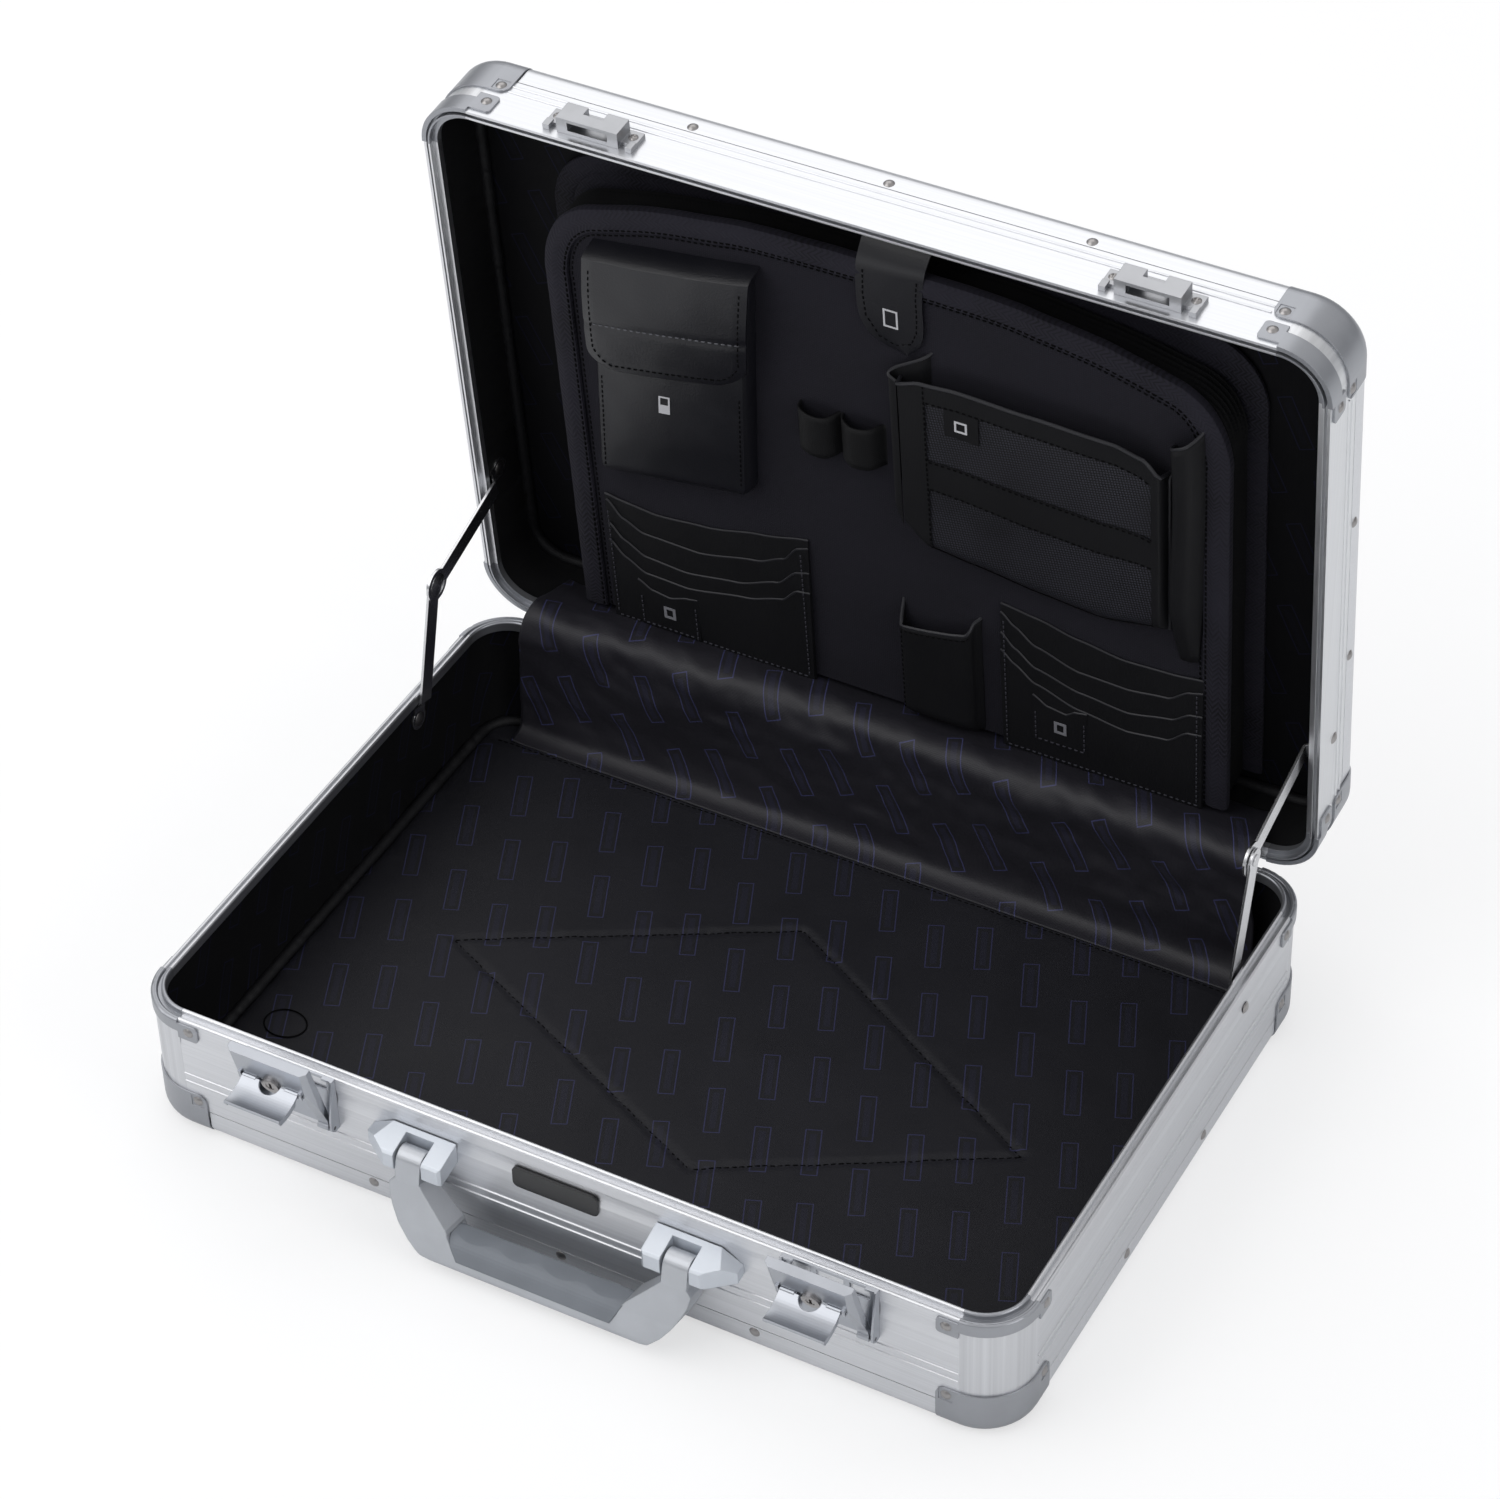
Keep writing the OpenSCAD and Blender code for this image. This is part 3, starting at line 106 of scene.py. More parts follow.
def node(tree: NodeTree, kind: str, wires: dict | None = None, **settings) -> Node:
    """Adds one node with its settings, socket values and links.

    Args:
        tree: The node tree to add to.
        kind: The node's type name.
        wires: Socket name or number to a value, or to the output socket to link.
        settings: Attributes of the node.

    Returns:
        The new node.
    """
    made = tree.nodes.new(kind)
    for name, value in settings.items():
        setattr(made, name, value)
    for socket, value in (wires or {}).items():
        if isinstance(value, NodeSocket):
            tree.links.new(value, made.inputs[socket])
        else:
            made.inputs[socket].default_value = value
    return made


@dataclass(frozen=True)
class Finish:
    """A finish with one base colour. Subclasses add the pattern that the real surface has.

    Attributes:
        name: The material's name.
        color: Base colour as sRGB hex digits.
        roughness: From 0, a mirror, to 1, matt.
        metallic: 1 for bare metal, 0 for anything else, between them for metallic lacquer.
        uneven: Share by which the colour varies.
        bump: Strength of the relief.
        edge_mm: Radius by which its edges look worn, or 0.
        coat: Weight of a clear coat.
        sheen: Weight of the sheen of fibres.
        specular: How much a face that isn't metal mirrors.
    """

    name: str
    color: str
    roughness: float = 0.5
    metallic: float = 0.0
    uneven: float = 0.06
    bump: float = 0.2
    edge_mm: float = 0.0
    coat: float = 0.0
    sheen: float = 0.0
    specular: float = 0.5

    def build(self) -> Material:
        """Makes the Blender material, once per finish.

        Returns:
            The material.
        """
        ready = bpy.data.materials.get(self.name)
        if ready:
            return ready
        material = bpy.data.materials.new(self.name)
        material.use_nodes = True
        tree = material.node_tree
        tree.nodes.clear()
        base = {"Metallic": self.metallic, "Roughness": self.roughness, "Base Color": linear(self.color)}
        shader = node(tree, "ShaderNodeBsdfPrincipled", base)
        if not self.metallic:
            # rough fibres shade each other, so cloth mirrors less than a smooth face
            shader.inputs["Specular IOR Level"].default_value = self.specular
        if self.coat:
            shader.inputs["Coat Weight"].default_value = self.coat
            shader.inputs["Coat Roughness"].default_value = COAT_ROUGHNESS
        if self.sheen:
            shader.inputs["Sheen Weight"].default_value = self.sheen
            shader.inputs["Sheen Roughness"].default_value = SHEEN_ROUGHNESS
            shader.inputs["Sheen Tint"].default_value = linear(SHEEN_TINT)
        out = node(tree, "ShaderNodeOutputMaterial")
        tree.links.new(shader.outputs[0], out.inputs["Surface"])
        self.dress(tree, shader)
        return material

    def dress(self, tree: NodeTree, shader: Node) -> None:
        """Adds a soft unevenness of colour and roughness, as handling and casting leave it.

        Args:
            tree: The material's node tree.
            shader: Its shader.
        """
        place = node(tree, "ShaderNodeTexCoord").outputs["Object"]
        # patches of about 17 mm, and a grain of 0.6 mm that is 0.04 mm deep
        cloud = node(tree, "ShaderNodeTexNoise", {"Vector": place, "Scale": 60.0, "Detail": 4.0})
        self.tint(tree, shader, cloud.outputs["Fac"])
        grain = node(tree, "ShaderNodeTexNoise", {"Vector": place, "Scale": 1600.0, "Detail": 2.0})
        self.relief(tree, shader, grain.outputs["Fac"], 0.04)

    def tint(self, tree: NodeTree, shader: Node, factor: NodeSocket) -> None:
        """Varies colour and roughness a little by a 0 to 1 factor.

        Args:
            tree: The material's node tree.
            shader: Its shader.
            factor: The socket that drives the change.
        """
        base = linear(self.color)
        dark = tuple(c * (1 - self.uneven) for c in base[:3]) + (1.0,)
        light = tuple(min(1.0, c * (1 + self.uneven)) for c in base[:3]) + (1.0,)
        ramp = node(tree, "ShaderNodeValToRGB", {"Fac": factor})
        for stop, at, tone in zip(ramp.color_ramp.elements, (NOISE_LOW, NOISE_HIGH), (dark, light)):
            stop.position, stop.color = at, tone
        tree.links.new(ramp.outputs[0], shader.inputs["Base Color"])
        spread_over = {
            "Value": factor,
            "From Min": NOISE_LOW,
            "From Max": NOISE_HIGH,
            "To Min": self.roughness * (1 - GLOSS_SWING),
            "To Max": min(1.0, self.roughness * (1 + GLOSS_SWING)),
        }
        rough = node(tree, "ShaderNodeMapRange", spread_over)
        tree.links.new(rough.outputs[0], shader.inputs["Roughness"])

    def relief(self, tree: NodeTree, shader: Node, height: NodeSocket, deep_mm: float) -> None:
        """Adds a bump of a real depth, with edges softened where the finish asks for it.

        Args:
            tree: The material's node tree.
            shader: Its shader.
            height: The 0 to 1 height.
            deep_mm: Depth of the relief in millimetres.
        """
        wires = {"Height": height, "Strength": self.bump, "Distance": deep_mm * MM}
        bump = node(tree, "ShaderNodeBump", wires)
        if self.edge_mm:
            # a worn, broken edge catches a line of light as the real pressings do
            round_ = node(tree, "ShaderNodeBevel", {"Radius": self.edge_mm * MM}, samples=4)
            tree.links.new(round_.outputs[0], bump.inputs["Normal"])
        tree.links.new(bump.outputs[0], shader.inputs["Normal"])


@dataclass(frozen=True)
class DrawnMetal(Finish):
    """Anodised aluminium extrusion or brushed sheet: fine lines run one way along the surface.

    Attributes:
        along: Specks of noise per metre along x, y and z: few along the lines, many across them.
        line_mm: Depth of the lines.
    """

    along: Point = (6.0, 900.0, 900.0)
    line_mm: float = 0.03

    def dress(self, tree: NodeTree, shader: Node) -> None:
        """Stretches noise into long drawn lines that vary tone, gloss and relief.

        Args:
            tree: The material's node tree.
            shader: Its shader.
        """
        place = node(tree, "ShaderNodeTexCoord").outputs["Object"]
        laid = node(tree, "ShaderNodeMapping", {"Vector": place, "Scale": self.along})
        lines = node(tree, "ShaderNodeTexNoise", {"Vector": laid.outputs[0], "Scale": 1.0, "Detail": 5.0})
        self.tint(tree, shader, lines.outputs["Fac"])
        self.relief(tree, shader, lines.outputs["Fac"], self.line_mm)


@dataclass(frozen=True)
class Woven(Finish):
    """Woven cloth: two sets of threads cross. Threads finer than a pixel are drawn coarser.

    Attributes:
        thread_mm: Distance from thread to thread.
        turned: Degrees by which the weave is turned.
        contrast: How strongly the threads show in the tone.
        thread_deep_mm: Depth of the weave.
    """

    thread_mm: float = 0.9
    turned: float = 0.0
    contrast: float = 0.35
    thread_deep_mm: float = 0.12

    def weave(self, tree: NodeTree) -> NodeSocket:
        """Lays the crossing threads in the piece's own flat layout.

        Args:
            tree: The material's node tree.

        Returns:
            The height of the weave, 0 to 1.
        """
        flat = node(tree, "ShaderNodeTexCoord").outputs["UV"]
        turn = (0.0, 0.0, math.radians(self.turned))
        laid = node(tree, "ShaderNodeMapping", {"Vector": flat, "Rotation": turn})
        # at scale 1 the wave repeats every 2 pi / 20, and the layout is in metres
        pitch = 2 * math.pi / 20 / (self.thread_mm * MM)
        wires = {"Vector": laid.outputs[0], "Scale": pitch, "Distortion": 0.4, "Detail": 1.0}
        warp, weft = (
            node(tree, "ShaderNodeTexWave", wires, bands_direction=way).outputs["Fac"] for way in "XY"
        )
        return node(tree, "ShaderNodeMath", {0: warp, 1: weft}, operation="MULTIPLY").outputs[0]

    def dress(self, tree: NodeTree, shader: Node) -> None:
        """Mixes the weave with a soft cloud so that the cloth isn't one flat tone.

        Args:
            tree: The material's node tree.
            shader: Its shader.
        """
        height = self.weave(tree)
        place = node(tree, "ShaderNodeTexCoord").outputs["Object"]
        cloud = node(tree, "ShaderNodeTexNoise", {"Vector": place, "Scale": 24.0, "Detail": 3.0})
        wires = {0: height, 1: self.contrast, 2: cloud.outputs["Fac"]}
        mixed = node(tree, "ShaderNodeMath", wires, operation="MULTIPLY_ADD").outputs[0]
        self.tint(tree, shader, mixed)
        self.relief(tree, shader, height, self.thread_deep_mm)


@dataclass(frozen=True)
class PrintedLining(Woven):
    """Lining cloth with a faint repeat of plain framed bars printed at a slant.

    Every third column of bars is set half a repeat higher than the two beside it.

    Attributes:
        ink: Colour of the print.
        cell_mm: Width and height of one repeat.
        frame_mm: Width and height of a frame.
        line_mm: Width of the frame's line.
        bar_in_mm: How far the bar lies inside its frame, across and along.
        bar_ink: Strength of the bar's ink beside the frame's.
        slant: Degrees by which the rows lean.
        start_mm: Where the repeat starts.
    """

    ink: str = "2B2C4A"
    cell_mm: Flat = (24.2, 47.8)
    frame_mm: Flat = (8.2, 30.0)
    line_mm: float = 0.6
    bar_in_mm: Flat = (2.5, 3.0)
    bar_ink: float = 0.14
    slant: float = 23.0
    start_mm: Flat = (-4.9, -27.6)

    def dress(self, tree: NodeTree, shader: Node) -> None:
        """Prints the repeat over the woven ground.

        Args:
            tree: The material's node tree.
            shader: Its shader.
        """
        super().dress(tree, shader)
        ground = shader.inputs["Base Color"].links[0].from_socket
        flat = node(tree, "ShaderNodeTexCoord").outputs["UV"]
        cells = {
            "Vector": flat,
            "Location": (self.start_mm[0] * MM, self.start_mm[1] * MM, 0.0),
            "Rotation": (0.0, 0.0, math.radians(self.slant)),
            "Scale": (self.cell_mm[0] * MM, self.cell_mm[1] * MM, 1.0),
        }
        laid = node(tree, "ShaderNodeMapping", cells, vector_type="TEXTURE")
        cut = node(tree, "ShaderNodeSeparateXYZ", {"Vector": laid.outputs[0]})
        column = node(tree, "ShaderNodeMath", {0: cut.outputs["X"]}, operation="FLOOR").outputs[0]
        # a hundredth keeps each column clear of the step from one third to the next
        wires = {0: column, 1: 1 / 3, 2: 0.01}
        third = node(tree, "ShaderNodeMath", wires, operation="MULTIPLY_ADD").outputs[0]
        part = node(tree, "ShaderNodeMath", {0: third}, operation="FRACT").outputs[0]
        odd = node(tree, "ShaderNodeMath", {0: part, 1: 0.2}, operation="GREATER_THAN").outputs[0]
        shift = node(tree, "ShaderNodeMath", {0: odd, 1: 0.5}, operation="MULTIPLY").outputs[0]
        x = self.centred(tree, cut.outputs["X"], None, self.cell_mm[0])
        y = self.centred(tree, cut.outputs["Y"], shift, self.cell_mm[1])
        half_w, half_h = self.frame_mm[0] / 2, self.frame_mm[1] / 2
        outer = self.inside(tree, x, y, half_w, half_h)
        inner = self.inside(tree, x, y, half_w - self.line_mm, half_h - self.line_mm)
        bar = self.inside(tree, x, y, half_w - self.bar_in_mm[0], half_h - self.bar_in_mm[1])
        rim = node(tree, "ShaderNodeMath", {0: outer, 1: inner}, operation="SUBTRACT").outputs[0]
        wires = {0: bar, 1: self.bar_ink, 2: rim}
        printed = node(tree, "ShaderNodeMath", wires, operation="MULTIPLY_ADD").outputs[0]
        wires = {"Factor": printed, 6: ground, 7: linear(self.ink)}
        mix = node(tree, "ShaderNodeMix", wires, data_type="RGBA", clamp_factor=True)
        tree.links.new(mix.outputs[2], shader.inputs["Base Color"])

    @staticmethod
    def centred(tree: NodeTree, value: NodeSocket, shift: NodeSocket | None, cell: float) -> NodeSocket:
        """Distance from the middle of a cell, in millimetres.

        Args:
            tree: The material's node tree.
            value: The place, counted in cells.
            shift: What to add before the cells repeat, or None.
            cell: Size of a cell in millimetres.

        Returns:
            The distance.
        """
        if shift:
            value = node(tree, "ShaderNodeMath", {0: value, 1: shift}, operation="ADD").outputs[0]
        part = node(tree, "ShaderNodeMath", {0: value}, operation="FRACT").outputs[0]
        off = node(tree, "ShaderNodeMath", {0: part, 1: 0.5}, operation="SUBTRACT").outputs[0]
        far = node(tree, "ShaderNodeMath", {0: off}, operation="ABSOLUTE").outputs[0]
        return node(tree, "ShaderNodeMath", {0: far, 1: cell}, operation="MULTIPLY").outputs[0]

    @staticmethod
    def inside(tree: NodeTree, x: NodeSocket, y: NodeSocket, half_w: float, half_h: float) -> NodeSocket:
        """1 inside a box about the middle of the cell, 0 outside.

        Args:
            tree: The material's node tree.
            x: Distance from the middle across, in millimetres.
            y: Distance from the middle along, in millimetres.
            half_w: Half the box's width.
            half_h: Half the box's height.

        Returns:
            The 0 or 1 value.
        """
        a = node(tree, "ShaderNodeMath", {0: x, 1: half_w}, operation="LESS_THAN").outputs[0]
        b = node(tree, "ShaderNodeMath", {0: y, 1: half_h}, operation="LESS_THAN").outputs[0]
        return node(tree, "ShaderNodeMath", {0: a, 1: b}, operation="MULTIPLY").outputs[0]


@dataclass(frozen=True)
class Herringbone(Woven):
    """Binding tape: short slanting threads that change direction in rows.

    Attributes:
        row_mm: Width of a row.
    """

    row_mm: float = 3.2

    def weave(self, tree: NodeTree) -> NodeSocket:
        """Slants the threads one way and the other in alternate rows.

        Args:
            tree: The material's node tree.

        Returns:
            The height of the weave, 0 to 1.
        """
        flat = node(tree, "ShaderNodeTexCoord").outputs["UV"]
        cut = node(tree, "ShaderNodeSeparateXYZ", {"Vector": flat})
        turns = {0: cut.outputs["Y"], 1: self.row_mm * MM}
        wander = node(tree, "ShaderNodeMath", turns, operation="PINGPONG").outputs[0]
        slanted = node(tree, "ShaderNodeMath", {0: cut.outputs["X"], 1: wander}, operation="ADD").outputs[0]
        threads = {0: slanted, 1: 2 * math.pi / (self.thread_mm * MM)}
        fine = node(tree, "ShaderNodeMath", threads, operation="MULTIPLY").outputs[0]
        wave = node(tree, "ShaderNodeMath", {0: fine}, operation="SINE").outputs[0]
        return node(tree, "ShaderNodeMath", {0: wave, 1: 0.5, 2: 0.5}, operation="MULTIPLY_ADD").outputs[0]


@dataclass(frozen=True)
class Leatherette(Finish):
    """Smooth coated cloth with a fine pebbled grain, shinier than the woven parts.

    Attributes:
        grain_mm: Size of a pebble.
        grain_deep_mm: Depth of the grain.
    """

    grain_mm: float = 1.0
    grain_deep_mm: float = 0.1

    def dress(self, tree: NodeTree, shader: Node) -> None:
        """Presses a pebble grain into the coating.

        Args:
            tree: The material's node tree.
            shader: Its shader.
        """
        place = node(tree, "ShaderNodeTexCoord").outputs["Object"]
        cells = {"Vector": place, "Scale": 1 / (self.grain_mm * MM)}
        pebble = node(tree, "ShaderNodeTexVoronoi", cells, feature="F1")
        cloud = node(tree, "ShaderNodeTexNoise", {"Vector": place, "Scale": 30.0, "Detail": 3.0})
        self.tint(tree, shader, cloud.outputs["Fac"])
        self.relief(tree, shader, pebble.outputs["Distance"], self.grain_deep_mm)


@dataclass(frozen=True)
class OpenMesh(Woven):
    """Net cloth: rows of small holes show the darker backing between its threads.

    Attributes:
        backing: Colour seen through the holes.
        hole_low: Height of the weave below which all is hole.
        hole_high: Height above which all is thread.
    """

    backing: str = "0B0B0D"
    hole_low: float = 0.12
    hole_high: float = 0.4

    def dress(self, tree: NodeTree, shader: Node) -> None:
        """Darkens the holes between the threads.

        Args:
            tree: The material's node tree.
            shader: Its shader.
        """
        super().dress(tree, shader)
        ground = shader.inputs["Base Color"].links[0].from_socket
        height = self.weave(tree)
        wires = {"Value": height, "From Min": self.hole_low, "From Max": self.hole_high}
        hole = node(tree, "ShaderNodeMapRange", wires).outputs[0]
        wires = {"Factor": hole, 6: linear(self.backing), 7: ground}
        mix = node(tree, "ShaderNodeMix", wires, data_type="RGBA", clamp_factor=True)
        tree.links.new(mix.outputs[2], shader.inputs["Base Color"])


# Clear anodised extrusion: pale, satin, with drawing lines along its length
WALL_X = DrawnMetal("anodised_aluminium_drawn_x", "DFE0E3", 0.42, 1.0, 0.05, 0.25, edge_mm=0.2)
WALL_SIDE = DrawnMetal(
    "anodised_aluminium_drawn_side", "DADBDE", 0.38, 1.0, 0.05, 0.25, edge_mm=0.25, along=(900.0, 6.0, 900.0)
)
# The lid's extrusions stand up with the open lid, so their lines are turned with them
LID_SIDE = DrawnMetal(
    "anodised_aluminium_drawn_lid_side", "E4E5E7", 0.33, 1.0, 0.05, 0.25,
    edge_mm=0.25, along=(900.0, 900.0, 6.0),
)
LID_FRONT = DrawnMetal("anodised_aluminium_drawn_lid_front", "DFE0E3", 0.33, 1.0, 0.04, 0.2, edge_mm=0.25)
# Brushed sheet of the corner bands: a little whiter, with upright brush lines
BAND = DrawnMetal("brushed_aluminium_band", "D6D7DA", 0.38, 1.0, 0.1, 0.5, along=(420.0, 420.0, 3.0))
LID_BAND = DrawnMetal("brushed_aluminium_lid_band", "DEDFE1", 0.38, 1.0, 0.1, 0.5, along=(420.0, 3.0, 420.0))
# Pressed steel corners in grey metallic lacquer: smooth, softly glossy
CORNER = Finish(
    "metallic_grey_lacquer_pressed_steel", "A3A5AA", 0.36, 0.85, 0.05, 0.15, edge_mm=0.4, coat=0.15
)
# Turned aluminium rivets: domes that show a dark and a bright side
RIVET = Finish("turned_aluminium_rivet", "A3A09F", 0.3, 1.0, 0.08, 0.15, edge_mm=0.15)
# Satin chrome plate on pressed steel latches: smooth and pale, with soft reflections
LATCH = Finish("satin_chrome_pressed_steel", "B4B7BD", 0.3, 1.0, 0.04, 0.12, edge_mm=0.35)
# Silver-plated zinc die casting: faint casting grain
STRIKER = Finish("plated_zinc_die_casting", "AFB0B3", 0.34, 1.0, 0.07, 0.3, edge_mm=0.4)
# Silver lacquer on the cast handle brackets: even, a little softer than chrome
BRACKET = Finish("silver_lacquer_zinc_bracket", "D3D8DF", 0.42, 0.7, 0.04, 0.15, edge_mm=0.7, coat=0.1)
# Moulded handle in silver metallic lacquer: flakes give a soft satin shine
HANDLE = Finish("silver_lacquer_moulded_handle", "C0C3C8", 0.42, 0.7, 0.05, 0.25, edge_mm=0.9, coat=0.2)
# Soft-touch grip, overmoulded: matt mid grey
GRIP = Finish("soft_touch_elastomer_grip", "7B8087", 0.62, 0.0, 0.06, 0.5, edge_mm=0.8)
# Plain steel strip of the stays, tumbled: bright, so that it mirrors the dark lining or the light
STEEL = DrawnMetal(
    "tumbled_steel_strip", "DADADC", 0.25, 1.0, 0.08, 0.3, along=(900.0, 40.0, 40.0), edge_mm=0.25
)
# Steel pins with a black oxide skin: dark dots in the pale hardware
BLACK_STEEL = Finish("black_oxide_steel_pin", "5A5B5E", 0.4, 1.0, 0.08, 0.2, edge_mm=0.2)
# Rolled leaves of the hinge: bright, with the mill's lines along them
HINGE_STEEL = DrawnMetal("rolled_steel_hinge", "C8C9CB", 0.3, 1.0, 0.06, 0.3, edge_mm=0.2)
# Brushed sheet that fills the flat sides of the case: long fine lines, softer than the walls
PANEL = DrawnMetal("brushed_aluminium_sheet", "C6C8CB", 0.46, 1.0, 0.06, 0.35)
# Black enamel with a bright worn edge all round
PLATE = Finish("black_enamel_name_plate", "090A0D", 0.22, 0.0, 0.1, 0.1, edge_mm=1.1, coat=0.2)
# Printed nylon twill: a little shine on its folds
LINING = PrintedLining(
    "printed_twill_lining", "14141A", 0.6, 0.0, 0.14, 0.5, sheen=0.06, specular=0.32, thread_mm=0.7
)
# The same cloth where it hangs loose over the hinge, coloured lighter and with lighter ink as painted light;
# its folds also shine more
CURTAIN_PAINTED_LIGHT = PrintedLining(
    "printed_twill_curtain_painted_light", "1D1C22", 0.46, 0.0, 0.16, 0.6,
    sheen=0.06, specular=0.42, thread_mm=0.7, ink="393B60",
)
# The same cloth inside the lid, coloured darker and with darker ink as painted shade where little light
# reaches it: the print hardly shows
BACK_LINING_PAINTED_SHADE = PrintedLining(
    "printed_twill_lid_lining_painted_shade", "09090C", 0.7, 0.0, 0.14, 0.5, specular=0.14, thread_mm=0.7, ink="15162A"
)
# The same cloth on the base's walls, drawn tight, coloured darker and with darker ink as painted shade for
# their shadow
WALL_PRINT_PAINTED_SHADE = PrintedLining(
    "printed_twill_wall_lining_painted_shade", "09090B", 0.75, 0.0, 0.16, 0.5, specular=0.18, ink="14152A"
)
# Plain black twill on the lid's walls: nearly matt, lost in the shade
SIDE_CLOTH = Woven("plain_twill_side_lining", "09090B", 0.8, 0.0, 0.16, 0.5, specular=0.22)
# Roll of lining gathered over a cord
WELT_CLOTH = Woven("gathered_twill_welt", "0F0F12", 0.62, 0.0, 0.2, 0.6, specular=0.35)
# Canvas over foam: a dry, blue-black face that shows its threads
BOARD_CLOTH = Woven(
    "padded_canvas_board", "19181F", 0.85, 0.0, 0.2, 0.8, sheen=0.1, specular=0.2, thread_mm=1.1
)
# Polyester tape folded over the board's edge: slanting rows, drawn twice as coarse as they are
BINDING = Herringbone(
    "herringbone_binding_tape", "17161D", 0.75, 0.0, 0.85, 1.0, sheen=0.06, specular=0.22, thread_mm=2.4
)
# Close, smooth cloth of the pockets: darker than the board and a little shinier
POCKET_CLOTH = Woven("smooth_pocket_cloth", "0F0F12", 0.62, 0.0, 0.12, 0.4, specular=0.25, thread_mm=0.8)
# Piping rolled round the pockets' mouths, coloured lighter than the pocket cloth as a painted highlight: a
# thin line of light
POCKET_EDGE = Finish("rolled_edge_piping_painted_highlight", "1F1F24", 0.5, 0.0, 0.1, 0.3, specular=0.5)
# Grained coated cloth of the pouch and the strap: broad soft shine
POUCH = Leatherette("grained_coated_cloth", "111117", 0.36, 0.0, 0.1, 0.45, specular=0.5)
# Knitted net: holes of about a millimetre, drawn half as coarse again so that they show
NET = OpenMesh("black_net_cloth", "2A2A32", 0.5, 0.0, 0.5, 1.0, specular=0.4, thread_mm=1.5, turned=12.0)
# Ribbed elastic of the pen loops: matt black
ELASTIC = Woven("ribbed_elastic", "0B0B0D", 0.65, 0.0, 0.2, 0.6, specular=0.25, thread_mm=1.2)
# Sewing threads: black on the board, grey on the pockets, silver grey across the flap
THREAD = Finish("twisted_polyester_thread", "030304", 0.7, 0.0, 0.1, 0.3, specular=0.1)
FLAP_THREAD = Finish("silver_grey_polyester_thread", "5C5D62", 0.6, 0.0, 0.1, 0.3, specular=0.3)
PALE_THREAD = Finish("grey_polyester_thread", "34343B", 0.6, 0.0, 0.1, 0.3, specular=0.2)
# Rubber ink, pressed on: flat and pale, and a darker copy of it on the card pockets
MARK = Finish("pale_rubber_print", "C6C6CA", 0.5, 0.0, 0.03, 0.1)
DIM_MARK = Finish("dim_rubber_print", "808086", 0.5, 0.0, 0.06, 0.1)


def paint(name: str, finish: Finish) -> None:
    """Gives a CAD node its finish.

    Args:
        name: The node's name.
        finish: What it is made of.
    """
    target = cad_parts[name]
    if not target.material_slots:
        target.data.materials.append(None)
    for place in target.material_slots:
        place.link = "OBJECT"
        place.material = finish.build()
    log.info("%s: %s", name, finish.name)


# ---------------------------------------------------------------- mesh building


